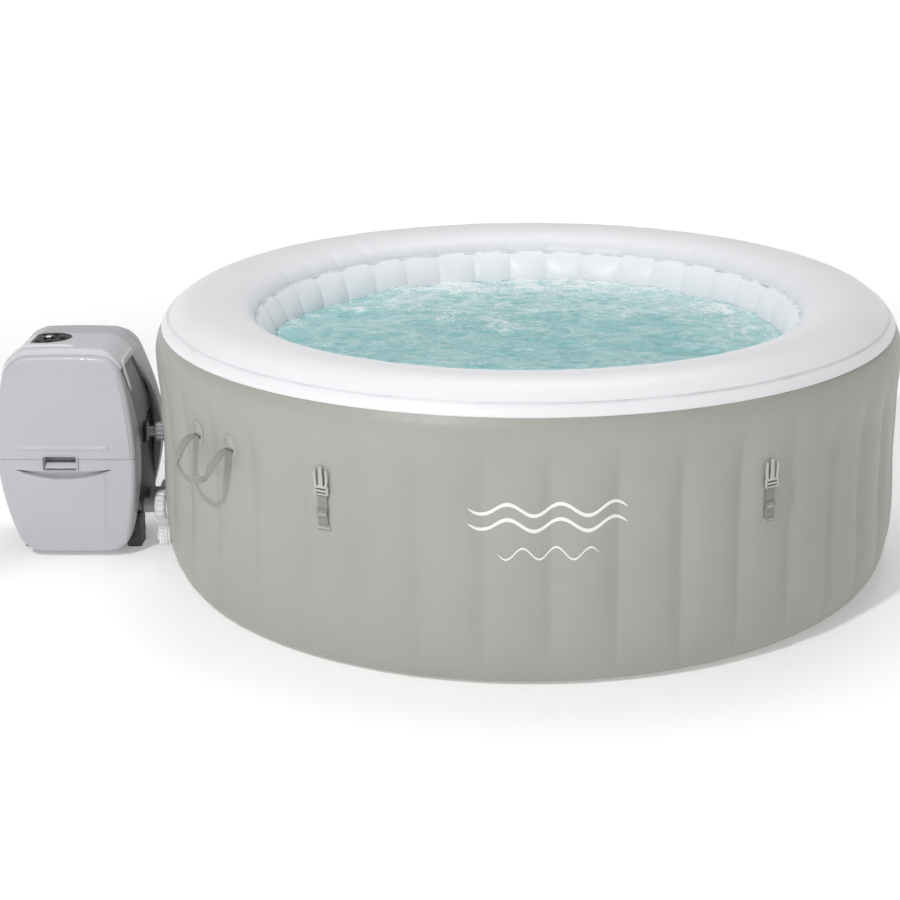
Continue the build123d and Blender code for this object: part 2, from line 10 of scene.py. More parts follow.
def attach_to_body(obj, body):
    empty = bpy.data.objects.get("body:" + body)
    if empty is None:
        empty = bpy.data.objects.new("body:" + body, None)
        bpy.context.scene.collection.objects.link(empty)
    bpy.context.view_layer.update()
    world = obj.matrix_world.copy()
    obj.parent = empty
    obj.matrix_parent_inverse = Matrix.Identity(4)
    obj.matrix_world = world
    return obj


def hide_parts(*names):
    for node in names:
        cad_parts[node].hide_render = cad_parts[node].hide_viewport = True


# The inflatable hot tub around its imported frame, in metres: +Z up, origin on the floor at the tub's axis.
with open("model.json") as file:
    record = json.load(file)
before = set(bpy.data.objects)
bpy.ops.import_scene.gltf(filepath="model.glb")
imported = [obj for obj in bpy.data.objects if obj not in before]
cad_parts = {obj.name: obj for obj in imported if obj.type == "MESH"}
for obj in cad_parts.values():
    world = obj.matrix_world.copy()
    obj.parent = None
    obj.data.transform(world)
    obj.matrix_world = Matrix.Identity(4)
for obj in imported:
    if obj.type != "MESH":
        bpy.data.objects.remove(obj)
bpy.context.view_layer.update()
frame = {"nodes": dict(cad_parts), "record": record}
scene = bpy.context.scene
UP = Vector((0, 0, 1))

# ---------------------------------------------------------------- camera
CAMERA_BACK, CAMERA_UP = 4.451, 1.703
CAMERA_TILT = math.radians(18.19)
LENS, SHIFT = 74.87, -0.0872


def add_camera():
    data = bpy.data.cameras.new("camera")
    data.lens, data.sensor_width, data.shift_x = LENS, 36, SHIFT
    camera = bpy.data.objects.new("camera", data)
    camera.location = (0, -CAMERA_BACK, CAMERA_UP)
    camera.rotation_euler = (math.pi / 2 - CAMERA_TILT, 0, 0)
    scene.collection.objects.link(camera)
    scene.camera = camera


add_camera()


# ---------------------------------------------------------------- materials
def srgb(r, g, b):
    """A linear colour from 0-255 screen values."""
    return tuple(((v / 255 + 0.055) / 1.055) ** 2.4 if v > 10 else v / 255 / 12.92 for v in (r, g, b)) + (1,)


class Shader:
    """A node material with short calls for the nodes that these materials use."""

    def __init__(self, name, roughness=0.45, **sockets):
        self.material = bpy.data.materials.new(name)
        self.material.use_nodes = True
        self.nodes = self.material.node_tree.nodes
        self.links = self.material.node_tree.links
        self.bsdf = self.nodes["Principled BSDF"]
        self.bsdf.inputs["Roughness"].default_value = roughness
        for socket, value in sockets.items():
            self.bsdf.inputs[socket.replace("_", " ")].default_value = value
        self.coordinates = self.nodes.new("ShaderNodeTexCoord")

    def link(self, source, target):
        self.links.new(source, target)

    def add(self, kind, where=None, **values):
        """A new node with its vector linked and plain values in its sockets."""
        node = self.nodes.new("ShaderNode" + kind)
        self.link(where or self.coordinates.outputs["Object"], node.inputs["Vector"])
        for socket, value in values.items():
            node.inputs[socket].default_value = value
        return node

    def place(self, scale, turn=(0, 0, 0)):
        """Object coordinates, stretched and turned."""
        return self.add("Mapping", Scale=scale, Rotation=turn).outputs["Vector"]

    def noise(self, scale, detail=4, rough=0.5, where=None, distortion=0.0):
        node = self.add("TexNoise", where, Scale=scale, Detail=detail, Roughness=rough, Distortion=distortion)
        return node.outputs["Fac"]

    def cell_edges(self, scale, where):
        node = self.add("TexVoronoi", where, Scale=scale)
        node.feature = "DISTANCE_TO_EDGE"
        return node.outputs["Distance"]

    def waves(self, scale, direction):
        node = self.add("TexWave", self.coordinates.outputs["UV"], Scale=scale)
        node.bands_direction = direction
        return node.outputs["Fac"]

    def ramp(self, value, *stops):
        """A value turned into colours: stops are (position, colour)."""
        node = self.nodes.new("ShaderNodeValToRGB")
        elements = node.color_ramp.elements
        while len(elements) < len(stops):
            elements.new(0.5)
        for element, (position, colour) in zip(elements, stops):
            element.position, element.color = position, colour
        self.link(value, node.inputs["Fac"])
        return node.outputs["Color"]

    def span(self, value, low, high, source=(0, 1)):
        """A value moved from one range to another."""
        node = self.nodes.new("ShaderNodeMapRange")
        for socket, number in zip(("From Min", "From Max", "To Min", "To Max"), (*source, low, high)):
            node.inputs[socket].default_value = number
        self.link(value, node.inputs["Value"])
        return node.outputs["Result"]

    def math(self, operation, a, b):
        node = self.nodes.new("ShaderNodeMath")
        node.operation = operation
        for socket, value in zip(node.inputs, (a, b)):
            if isinstance(value, (int, float)):
                socket.default_value = value
            else:
                self.link(value, socket)
        return node.outputs["Value"]

    def mix(self, factor, a, b):
        node = self.nodes.new("ShaderNodeMix")
        node.data_type = "RGBA"
        for socket, value in ((node.inputs[0], factor), (node.inputs[6], a), (node.inputs[7], b)):
            if isinstance(value, (int, float, tuple)):
                socket.default_value = value
            else:
                self.link(value, socket)
        return node.outputs[2]

    def bump(self, height, strength, distance, below=None):
        node = self.nodes.new("ShaderNodeBump")
        node.inputs["Strength"].default_value = strength
        node.inputs["Distance"].default_value = distance
        self.link(height, node.inputs["Height"])
        if below is not None:
            self.link(below, node.inputs["Normal"])
        return node.outputs["Normal"]

    def finish(self, colour=None, normal=None, roughness=None):
        for value, socket in ((colour, "Base Color"), (normal, "Normal"), (roughness, "Roughness")):
            if value is not None:
                self.link(value, self.bsdf.inputs[socket])
        return self.material


def shades(colour, low, high):
    """Two versions of a colour, darker and lighter."""
    return tuple(tuple(min(1, c * f) for c in colour[:3]) + (1,) for f in (low, high))


def sheet_material(name, colour, roughness, grain, grain_depth, spread=0.035, coat=0.0):
    """Laminated plastic sheet: a fine embossed grain, faint cloudy colour and uneven gloss."""
    s = Shader(name, roughness, Coat_Weight=coat, Coat_Roughness=0.35, Specular_IOR_Level=0.45)
    dark, light = shades(colour, 1 - spread, 1 + spread)
    cloud = s.noise(5, 5, 0.55)
    tint = s.ramp(cloud, (0.32, dark), (0.68, light))
    weave = s.noise(grain, 2, 0.6)
    creases = s.noise(22, 3, 0.5, distortion=0.4)
    soft = s.bump(creases, 0.25, 0.0022)
    normal = s.bump(weave, 0.5, grain_depth, soft)
    return s.finish(tint, normal, s.span(s.noise(60, 3), roughness - 0.07, roughness + 0.09))


def plastic_material(name, colour, roughness, grain=900, depth=0.00012, spread=0.03, **sockets):
    """Moulded plastic: a fine spark-eroded texture with slight variation in tone and gloss."""
    s = Shader(name, roughness, **sockets)
    dark, light = shades(colour, 1 - spread, 1 + spread)
    tint = s.ramp(s.noise(9, 4, 0.5), (0.3, dark), (0.7, light))
    normal = s.bump(s.noise(grain, 2, 0.5), 0.5, depth)
    return s.finish(tint, normal, s.span(s.noise(40, 4), roughness - 0.05, roughness + 0.07))


def metal_material(name, colour, roughness, stretch=(1, 1, 1)):
    """Metal with fine machining lines."""
    s = Shader(name, roughness, Metallic=1.0)
    lines = s.noise(400, 3, 0.6, s.place(stretch))
    tint = s.ramp(lines, (0.2, shades(colour, 0.85, 1)[0]), (0.8, shades(colour, 1, 1.1)[1]))
    return s.finish(tint, s.bump(lines, 0.3, 0.0001), s.span(lines, roughness - 0.08, roughness + 0.12))


def webbing_material(name, colour):
    """Woven webbing: crossed yarns across and along the band, laid out in millimetres."""
    s = Shader(name, 0.8, Sheen_Weight=0.35, Sheen_Roughness=0.5)
    across = s.waves(0.28, "X")
    along_band = s.waves(0.21, "Y")
    weave = s.math("MULTIPLY", across, along_band)
    dark, light = shades(colour, 0.72, 1.12)
    tint = s.mix(s.noise(55, 4), s.ramp(weave, (0.0, dark), (0.75, light)), shades(colour, 0.9, 1)[0])
    fuzz = s.bump(s.noise(1600, 2), 0.3, 0.0002)
    return s.finish(tint, s.bump(weave, 0.8, 0.0007, fuzz))


def water_material():
    """Bubbling water: clear turquoise broken by white foam and by painted glints of reflected light, where
    the surface carries them.
    """
    s = Shader("water", 0.12, IOR=1.33, Coat_Weight=0.6, Coat_Roughness=0.06, Specular_IOR_Level=0.6)
    froth_and_glints = s.nodes.new("ShaderNodeAttribute")
    froth_and_glints.attribute_name = "foam_and_glints"
    amount = froth_and_glints.outputs["Fac"]
    swirl = s.place((1.0, 1.5, 1.0))
    blues = (0.3, srgb(126, 190, 193)), (0.5, srgb(155, 208, 210)), (0.74, srgb(198, 230, 232))
    depth = s.ramp(s.noise(13, 7, 0.62, swirl, 1.2), *blues)
    lace = s.cell_edges(70, s.place((1, 1.4, 1), (0, 0, 0.5)))
    threads = s.span(lace, 1, 0, (0.0, 0.16))
    # fine white flecks: partly foam, partly painted glints of reflected light
    flecks_and_glints = s.noise(170, 6, 0.8, swirl, 0.5)
    patches = s.noise(56, 5, 0.7, swirl, 0.8)
    cover = s.math("ADD", s.math("MULTIPLY", amount, 0.52), s.math("MULTIPLY", patches, 0.62))
    speckle = s.math("ADD", s.math("MULTIPLY", flecks_and_glints, 0.75), s.math("MULTIPLY", threads, 0.12))
    white = s.span(s.math("ADD", cover, speckle), 0, 1, (0.99, 1.2))
    tint = s.mix(white, depth, srgb(243, 250, 250))
    ripple = s.bump(s.noise(45, 5, 0.6, swirl, 1.0), 0.7, 0.006)
    fizz = s.bump(flecks_and_glints, 0.55, 0.0025, ripple)
    return s.finish(tint, fizz, s.span(white, 0.08, 0.5))


WHITE_SHEET = sheet_material("rim_sheet", srgb(231, 231, 234), 0.42, 700, 0.00012, 0.012, 0.15)
LINER_SHEET = sheet_material("liner_sheet", srgb(240, 242, 246), 0.4, 700, 0.00012, 0.015, 0.15)
GREY_SHEET = sheet_material("wall_sheet", srgb(161, 160, 154), 0.46, 850, 0.00014, 0.022, 0.08)
PATCH_SHEET = sheet_material("patch_sheet", srgb(167, 166, 160), 0.44, 850, 0.00012, 0.02, 0.08)
FLOOR_SHEET = sheet_material("floor_sheet", srgb(150, 151, 147), 0.55, 350, 0.0005, 0.05)
PRINT_INK = sheet_material("print_ink", srgb(236, 237, 236), 0.5, 850, 0.0001, 0.01)
WEBBING = webbing_material("webbing", srgb(160, 158, 152))
STRAP_WEBBING = webbing_material("strap_webbing", srgb(150, 149, 145))
THREAD = plastic_material("thread", srgb(205, 204, 198), 0.7, 2500, 0.0003)
BUCKLE = plastic_material("buckle_plastic", srgb(184, 184, 180), 0.38, Coat_Weight=0.1)
FITTING = plastic_material("white_fitting", srgb(226, 227, 228), 0.36, Coat_Weight=0.1)
MOULDED = {"grain": 1100, "depth": 0.0001, "spread": 0.018, "Coat_Weight": 0.12}
SHELL = plastic_material("shell_grey", srgb(182, 183, 187), 0.4, **MOULDED)
DECK = plastic_material("deck_grey", srgb(200, 201, 205), 0.38, **MOULDED)
# a lighter grey for the deck's front lip: painted highlight
HIGHLIGHT_TRIM = plastic_material("highlight_trim", srgb(216, 217, 220), 0.38, **MOULDED)
SIDE = plastic_material("side_grey", srgb(138, 139, 142), 0.45, 1100, 0.00012)
DARK = plastic_material("dark_grey", srgb(66, 67, 69), 0.5, 1100, 0.00012, 0.06)
BLACK = plastic_material("black_plastic", srgb(24, 24, 25), 0.42, 1100, 0.0001, 0.08)
GLOSS = {"grain": 300, "depth": 0.00002, "spread": 0.05, "Specular_IOR_Level": 0.25}
GLOSS_BLACK = plastic_material("panel_black", srgb(13, 14, 15), 0.32, **GLOSS)
KEY_GREY = plastic_material("key_grey", srgb(30, 31, 32), 0.35, 1500, 0.00006, 0.05)
KEY_WHITE = plastic_material("key_white", srgb(240, 241, 240), 0.25, 1500, 0.00005, 0.01, Coat_Weight=0.4)
PIPE = plastic_material("pipe_grey", srgb(158, 159, 162), 0.4)
RUBBER = plastic_material("rubber", srgb(32, 32, 33), 0.75, 500, 0.0003, 0.1)
MEDIA = plastic_material("filter_media", srgb(238, 241, 244), 0.85, 700, 0.0004)
BOARD = plastic_material("circuit_board", srgb(28, 92, 52), 0.4, 200, 0.0002, 0.15)
STEEL = metal_material("steel", srgb(176, 177, 180), 0.3, (1, 20, 1))
MOTOR = metal_material("motor_cast", srgb(150, 152, 155), 0.45)


# ---------------------------------------------------------------- mesh tools
def run_length(points):
    """Length along a line of points, from its first one."""
    return np.concatenate([[0], np.cumsum(np.linalg.norm(np.diff(points, axis=0), axis=1))])


def unit(vectors):
    """Rows of vectors, each at length 1."""
    return vectors / np.linalg.norm(vectors, axis=1)[:, None]


def full_turn(count):
    """Angles right round a circle, in radians."""
    return np.arange(count) * 2 * math.pi / count


def smooth_curve(points, count):
    """count points evenly spaced on a smooth curve through a few."""
    p = np.array(points, float)
    t = run_length(p)
    slope = np.gradient(p, t, axis=0)
    s = np.linspace(0, t[-1], count)
    k = np.clip(np.searchsorted(t, s, side="right") - 1, 0, len(t) - 2)
    h = (t[k + 1] - t[k])[:, None]
    u = (s - t[k])[:, None] / h
    return (
        (2 * u**3 - 3 * u**2 + 1) * p[k]
        + (u**3 - 2 * u**2 + u) * h * slope[k]
        + (3 * u**2 - 2 * u**3) * p[k + 1]
        + (u**3 - u**2) * h * slope[k + 1]
    )


def smooth_step(value, low, high):
    """0 below low, 1 above high, smooth between."""
    t = np.clip((np.asarray(value, float) - low) / (high - low), 0, 1)
    return t * t * (3 - 2 * t)


def make_object(name, mesh, material, edge_angle=35):
    mesh.shade_smooth()
    mesh.set_sharp_from_angle(angle=math.radians(edge_angle))
    mesh.materials.append(material)
    piece = bpy.data.objects.new(name, mesh)
    scene.collection.objects.link(piece)
    return piece


def grid_faces(rows, columns, wrap_rows=False, wrap_columns=False):
    """Quads between a grid's points, where point (i, j) has index i * columns + j."""
    i, j = np.meshgrid(
        np.arange(rows if wrap_rows else rows - 1),
        np.arange(columns if wrap_columns else columns - 1),
        indexing="ij",
    )
    i2, j2 = (i + 1) % rows, (j + 1) % columns
    corners = (i * columns + j, i * columns + j2, i2 * columns + j2, i2 * columns + j)
    return np.stack([c.ravel() for c in corners], axis=1)


def grid_mesh(name, points, wrap_rows=False, wrap_columns=False, caps=False):
    """A mesh over points[i, j], with fans over its first and last rows when capped."""
    rows, columns = points.shape[:2]
    vertices = points.reshape(-1, 3)
    faces = grid_faces(rows, columns, wrap_rows, wrap_columns).tolist()
    if caps:
        faces.append(list(range(columns))[::-1])
        faces.append(list(range((rows - 1) * columns, rows * columns)))
    mesh = bpy.data.meshes.new(name)
    mesh.from_pydata(vertices.tolist(), [], faces)
    outward(mesh)
    return mesh


def open_mesh(mesh):
    """A mesh's elements, free to be edited."""
    work = bmesh.new()
    work.from_mesh(mesh)
    return work


def close_mesh(work, mesh):
    """Puts edited elements back into their mesh."""
    work.to_mesh(mesh)
    work.free()
    return mesh


def outward(mesh):
    """Makes all normals face out."""
    work = open_mesh(mesh)
    bmesh.ops.remove_doubles(work, verts=work.verts, dist=1e-6)
    bmesh.ops.recalc_face_normals(work, faces=work.faces)
    close_mesh(work, mesh)


def thicken(piece, thickness):
    """Gives a skin its thickness, inwards."""
    modifier = piece.modifiers.new("thickness", "SOLIDIFY")
    modifier.thickness = thickness
    modifier.offset = -1
    graph = bpy.context.evaluated_depsgraph_get()
    mesh = bpy.data.meshes.new_from_object(piece.evaluated_get(graph))
    piece.modifiers.clear()
    piece.data = mesh
    return piece


def join(name, pieces):
    """One object from several, keeping their materials."""
    with bpy.context.temp_override(active_object=pieces[0], selected_editable_objects=pieces):
        bpy.ops.object.join()
    pieces[0].name = name
    return pieces[0]


def attach(piece, body, slot, *nodes):
    """Rides a body and stands for CAD nodes; its slot argument is not used."""
    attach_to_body(piece, body)
    if nodes:
        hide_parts(*nodes)
    return piece


def axis_frame(origin, axis):
    """A matrix with its z along an axis and its y near up."""
    z = Vector(axis).normalized()
    x = UP.cross(z).normalized()
    y = z.cross(x)
    return Matrix.Translation(Vector(origin)) @ Matrix((x, y, z)).transposed().to_4x4()


def shifted(place, x, y, z):
    """A frame moved along its own axes."""
    return place @ Matrix.Translation((x, y, z))


def lathe(name, profile, material, place, ribs=0, rib_depth=0.0, ribbed=(), sides=72):
    """A turned piece from (radius, height) points; the points listed in ribbed take round ribs."""
    sides = max(sides, ribs * 8)
    angle = full_turn(sides)
    rows = []
    for k, (radius, height) in enumerate(profile):
        wave = rib_depth * (np.abs(np.cos(ribs * angle / 2)) - 1) if k in ribbed else 0
        r = radius + wave + 0 * angle
        rows.append(np.stack([r * np.cos(angle), r * np.sin(angle), height + 0 * angle], axis=1))
    mesh = grid_mesh(name, np.array(rows), wrap_columns=True, caps=profile[0] != profile[-1])
    mesh.transform(place)
    return make_object(name, mesh, material, 30)


def block(name, size, material, place, bevel=0.001, segments=3):
    """A box with rounded edges."""
    mesh = bpy.data.meshes.new(name)
    work = open_mesh(mesh)
    bmesh.ops.create_cube(work, size=1, matrix=Matrix.Diagonal((*size, 1)))
    bmesh.ops.bevel(work, geom=work.edges, offset=bevel, segments=segments, affect="EDGES", profile=0.5)
    close_mesh(work, mesh).transform(place)
    return make_object(name, mesh, material, 40)


def plate(name, outline, thick, material, place, bevel):
    """A flat piece cut to an outline, with rounded edges."""
    mesh = bpy.data.meshes.new(name)
    work = open_mesh(mesh)
    face = work.faces.new([work.verts.new((x, y, 0)) for x, y in outline])
    risen = bmesh.ops.extrude_face_region(work, geom=[face])
    moved = [v for v in risen["geom"] if isinstance(v, bmesh.types.BMVert)]
    bmesh.ops.translate(work, verts=moved, vec=(0, 0, thick))
    bmesh.ops.recalc_face_normals(work, faces=work.faces)
    rims = [e for e in work.edges if abs(e.verts[0].co.z - e.verts[1].co.z) < 1e-7]
    bmesh.ops.bevel(work, geom=rims, offset=bevel, segments=2, affect="EDGES", profile=0.5)
    close_mesh(work, mesh).transform(place)
    return make_object(name, mesh, material, 40)


def ribbon(name, path, widths, normals, thick, material):
    """A webbing band from points, half-width vectors and thickness directions, with UVs in millimetres."""
    path, widths, normals = (np.array(a, float) for a in (path, widths, normals))
    profile = [(-1, -0.7), (-0.96, -1), (-0.5, -1), (0, -1), (0.5, -1), (0.96, -1), (1, -0.7)]
    profile += [(-x, -y) for x, y in profile]
    rings = np.stack([path + x * widths + y * thick / 2 * normals for x, y in profile], axis=1)
    mesh = grid_mesh(name, rings, wrap_columns=True, caps=True)
    layer = mesh.uv_layers.new(name="band")
    co = np.array([v.co for v in mesh.vertices])
    nearest = np.argmin(((co[:, None] - path[None]) ** 2).sum(2), axis=1)
    across = ((co - path[nearest]) * unit(widths[nearest])).sum(1)
    along_band = run_length(path)[nearest]
    for corner in mesh.loops:
        v = corner.vertex_index
        layer.data[corner.index].uv = (across[v] * 1000, along_band[v] * 1000)
    return make_object(name, mesh, material, 60)


# ---------------------------------------------------------------- the tub's skins
RIBS, RIB_PHASE, LINER_PHASE = 40, 3, 4.5
PANEL_COLUMNS, ROUND_COLUMNS = 16, 480
WALL_ROWS, RIM_ROWS, LINER_ROWS, FLOOR_ROWS = 64, 60, 52, 60
WALL_MEAN = 0.895
PANEL_SINK, PANEL_SWELL, HEEL_PINCH = 0.0084, 0.0104, 0.0025
HEEL_Z, HEEL_SPREAD = 0.075, 0.035
LINER_SINK, LINER_SWELL = 0.0058, 0.0084
FLOOR_EDGE, FLOOR_Z, FLOOR_THICK = 0.8335, 0.0016, 0.0014
WALL_PROFILE = [
    (0.834, 0.0), (0.846, 0.004), (0.868, 0.02), (0.886, 0.06), (0.8935, 0.1), (0.896, 0.15), (0.892, 0.3),
    (0.8926, 0.4), (0.893, 0.45), (0.8972, 0.5), (0.8988, 0.525), (0.8982, 0.55), (0.89, 0.582),
    (0.879, 0.5985),
]
RIM_PROFILE = [
    (0.8802, 0.5985), (0.8768, 0.6055), (0.8695, 0.6165), (0.855, 0.6305), (0.83, 0.648), (0.8, 0.6572),
    (0.775, 0.6592), (0.74, 0.656), (0.7, 0.644), (0.675, 0.629), (0.6625, 0.613), (0.6585, 0.6005),
]
LINER_PROFILE = [
    (0.66, 0.606), (0.648, 0.592), (0.63, 0.56), (0.6215, 0.47), (0.619, 0.33),
    (0.625, 0.14), (0.632, 0.04), (0.634, 0.004),
]


def out_of(angle):
    """Unit vector out of the tub at an angle from -Y towards +X, in degrees."""
    return Vector((math.sin(math.radians(angle)), -math.cos(math.radians(angle)), 0))


def along_wall(angle):
    return Vector((math.cos(math.radians(angle)), math.sin(math.radians(angle)), 0))


def ring_frame(angle, radius, z):
    """A frame at a radius from the tub's axis, its z pointing out of the tub."""
    return axis_frame(out_of(angle) * radius + UP * z, out_of(angle))


def wall_frame(angle, z, lift):
    """A frame lifted off the outer wall, its z pointing out of the tub."""
    r = float(wall_radius(np.array([angle]), np.array([z]))[0])
    return ring_frame(angle, r + lift, z)


def round_points(radius, turn, z):
    """Points at a radius and height, at angles in radians from -Y towards +X."""
    return np.stack([radius * np.sin(turn), -radius * np.cos(turn), z + 0 * turn], axis=-1)


def panel_share(degrees, phase):
    """0 on the seams between the wall's panels and 1 in their middles."""
    step = 360 / RIBS
    across = np.mod(np.asarray(degrees, float) - phase, step) / step
    return 4 * across * (1 - across)


def ruffle(degrees, z, seed):
    """Small uneven tension creases, in metres."""
    values = []
    for a, h in zip(np.ravel(degrees), np.ravel(z)):
        spot = Vector((a * 0.35 + seed, h * 9.0, seed))
        values.append(noise.noise(spot) + 0.5 * noise.noise(spot * 2.3))
    return 0.0008 * np.reshape(values, np.shape(degrees))


def wall_radius(degrees, z):
    """The outer wall's surface, at angles in degrees and heights in metres."""
    r = np.interp(z, WALL_CURVE[:, 1], WALL_CURVE[:, 0])
    swell = smooth_step(z, 0.03, 0.17) * (1 - smooth_step(z, 0.43, 0.575))
    heel = np.exp(-(((np.asarray(z) - HEEL_Z) / HEEL_SPREAD) ** 2))
    share = panel_share(degrees, RIB_PHASE)
    pinch = -HEEL_PINCH * heel * (1 - share) ** 3
    soft = 0.45 * share + 0.55 * share * share * (3 - 2 * share)
    return r - PANEL_SINK * swell + PANEL_SWELL * swell * soft + pinch + ruffle(degrees, z, 3.1)


def panel_angles(phase):
    """Angles right round the tub, gathered towards the seams so that they stay crisp."""
    u = np.linspace(0, 1, PANEL_COLUMNS, endpoint=False)
    eased = u - 0.09 * np.sin(2 * math.pi * u)
    return phase + (np.arange(RIBS)[:, None] + eased[None]).ravel() * 360 / RIBS


def skin_grid(curve, phase):
    """Angles in degrees, radii and heights of a skin's points, in rows along its curve."""
    angles = panel_angles(phase)
    r, z = (np.repeat(column[:, None], len(angles), axis=1) for column in curve.T)
    return np.repeat(angles[None], len(curve), axis=0), r, z


def skin(name, degrees, radius, height, material, edge_angle=75, inward=False):
    """A sheet right round the tub."""
    mesh = grid_mesh(name, round_points(radius, np.radians(degrees), height), wrap_columns=True)
    if inward:
        mesh.flip_normals()
    return make_object(name, mesh, material, edge_angle)


WALL_CURVE = smooth_curve(WALL_PROFILE, 140)


def build_outer_wall():
    """Gathered panels: each swells out between the welded tension strips."""
    degrees, r, z = skin_grid(smooth_curve(WALL_PROFILE, WALL_ROWS), RIB_PHASE)
    radius = wall_radius(degrees, z)
    radius[0] = r[0]
    wall = skin("outer_wall_skin", degrees, radius, z, GREY_SHEET)
    return attach(wall, "tub", "wall_sheet", "outer_wall")


def build_rim():
    """The white top sheet: a full crown and an inner lip, drawn in at the seams."""
    degrees, r, z = skin_grid(smooth_curve(RIM_PROFILE, RIM_ROWS), RIB_PHASE)
    seam = 1 - panel_share(degrees, RIB_PHASE)
    inner_seam = 1 - panel_share(degrees, LINER_PHASE)
    inner = smooth_step(-r, -0.715, -0.664)
    outer = smooth_step(r, 0.842, 0.872)
    z = z - 0.0012 * inner * inner_seam**2 + ruffle(degrees, r, 8.4)
    r = r + 0.0026 * inner * inner_seam**2 - 0.0008 * outer * seam**2
    return skin("rim_skin", degrees, r, z, WHITE_SHEET)


def welt(name, profile, material):
    """A narrow raised band right round the tub: a closed section of (radius, height)."""
    rows = [round_points(r, full_turn(ROUND_COLUMNS), z) for r, z in profile]
    mesh = grid_mesh(name, np.array(rows), wrap_rows=True, wrap_columns=True)
    return make_object(name, mesh, material, 40)


def weld_line(name, r, z, half, material):
    """A fine round weld right round the tub."""
    section = [(r + half * math.cos(a), z + 0.0008 * math.sin(a)) for a in full_turn(8)]
    return welt(name, section, material)


def build_rim_band():
    """The rim with its overlap on the wall: a flat band, its cut edge and two weld lines above."""
    band = [(0.88, 0.5975), (0.8812, 0.597), (0.8822, 0.6), (0.8797, 0.6058), (0.874, 0.6132)]
    band += [(0.8688, 0.619), (0.868, 0.6182), (0.8722, 0.612), (0.8775, 0.604), (0.8795, 0.599)]
    pieces = [build_rim(), welt("rim_band", band, WHITE_SHEET)]
    pieces.append(weld_line("weld_line", 0.8652, 0.6222, 0.0011, WHITE_SHEET))
    pieces.append(weld_line("weld_line", 0.8632, 0.6239, 0.0011, WHITE_SHEET))
    rim = join("rim", pieces)
    return attach(rim, "tub", "rim_sheet", "top_ring")


LINER_CURVE = smooth_curve(LINER_PROFILE, 120)[::-1]


def liner_radius(degrees, z):
    """The inner wall's surface, at angles in degrees and heights in metres."""
    r = np.interp(z, LINER_CURVE[:, 1], LINER_CURVE[:, 0])
    swell = smooth_step(z, 0.02, 0.15) * (1 - smooth_step(z, 0.55, 0.612))
    share = panel_share(degrees, LINER_PHASE)
    return r + LINER_SINK * swell - LINER_SWELL * swell * share**0.75 + ruffle(degrees, z, 5.7)


def build_liner():
    """The inner wall: panels that swell inwards between crisp upright seams."""
    degrees, _, z = skin_grid(smooth_curve(LINER_PROFILE, LINER_ROWS), LINER_PHASE)
    pieces = [skin("liner_skin", degrees, liner_radius(degrees, z), z, LINER_SHEET, inward=True)]
    pieces.append(weld_line("lip_weld", 0.6588, 0.6035, 0.001, GREY_SHEET))
    pieces.append(weld_line("lip_weld", 0.6566, 0.6008, 0.001, GREY_SHEET))
    liner = join("liner", pieces)
    return attach(liner, "tub", "liner_sheet", "inner_wall")


def build_floor():
    """The tub's floor: an embossed sheet out to its welded edge."""
    radii = np.linspace(0.02, FLOOR_EDGE, FLOOR_ROWS)
    curve = np.column_stack([radii, np.full(FLOOR_ROWS, FLOOR_Z)])
    sheet = skin("floor_skin", *skin_grid(curve, RIB_PHASE), FLOOR_SHEET, 35)
    return attach(thicken(sheet, FLOOR_THICK), "tub", "floor_sheet", "floor_sheet")


# ---------------------------------------------------------------- water
WATER_TOP, WATER_BOTTOM = 0.532, 0.4
WATER_RINGS = 210


def boil(x, y):
    """Height and whiteness of bubbling water at a spot, in metres and 0-1: foam, with painted glints of
    reflected light that grow towards the back.
    """
    spot = Vector((x * 4.2, y * 5.2, 0.7))
    swell = noise.noise(spot) + 0.5 * noise.noise(spot * 2.1 + Vector((4, 1, 0)))
    fine = noise.noise(spot * 6.5) + 0.6 * noise.noise(spot * 14 + Vector((0, 9, 2)))
    burst = max(0, noise.noise(spot * 1.7 + Vector((3, 7, 5)))) ** 2
    edge = smooth_step(math.hypot(x, y), 0.34, 0.6)
    height = 0.0085 * swell + 0.0036 * fine + 0.016 * burst
    # the term in y whitens the far water more: painted reflection, not foam
    foam_and_glints = 0.23 + 0.22 * swell + 0.34 * fine + 0.8 * burst + 0.12 * float(edge) + 0.55 * y
    return height, foam_and_glints


def water_surface(turn, edge):
    """Rings of points over the boiling top and across the flat underside, and the foam and painted glints at
    each.
    """
    share = np.concatenate([np.linspace(0.004, 0.985, WATER_RINGS - 1), [1.0]])
    rings, foam_and_glints = [], []
    for s in share:
        flat = round_points(s * edge, turn, 0)
        look = np.array([boil(x, y) for x, y, _ in flat])
        rings.append(round_points(s * edge, turn, WATER_TOP + look[:, 0]))
        foam_and_glints.append(look[:, 1])
    for s in (1.0, 0.02):
        rings.append(round_points(s * edge, turn, WATER_BOTTOM))
        foam_and_glints.append(0 * turn)
    return np.array(rings), np.concatenate(foam_and_glints)


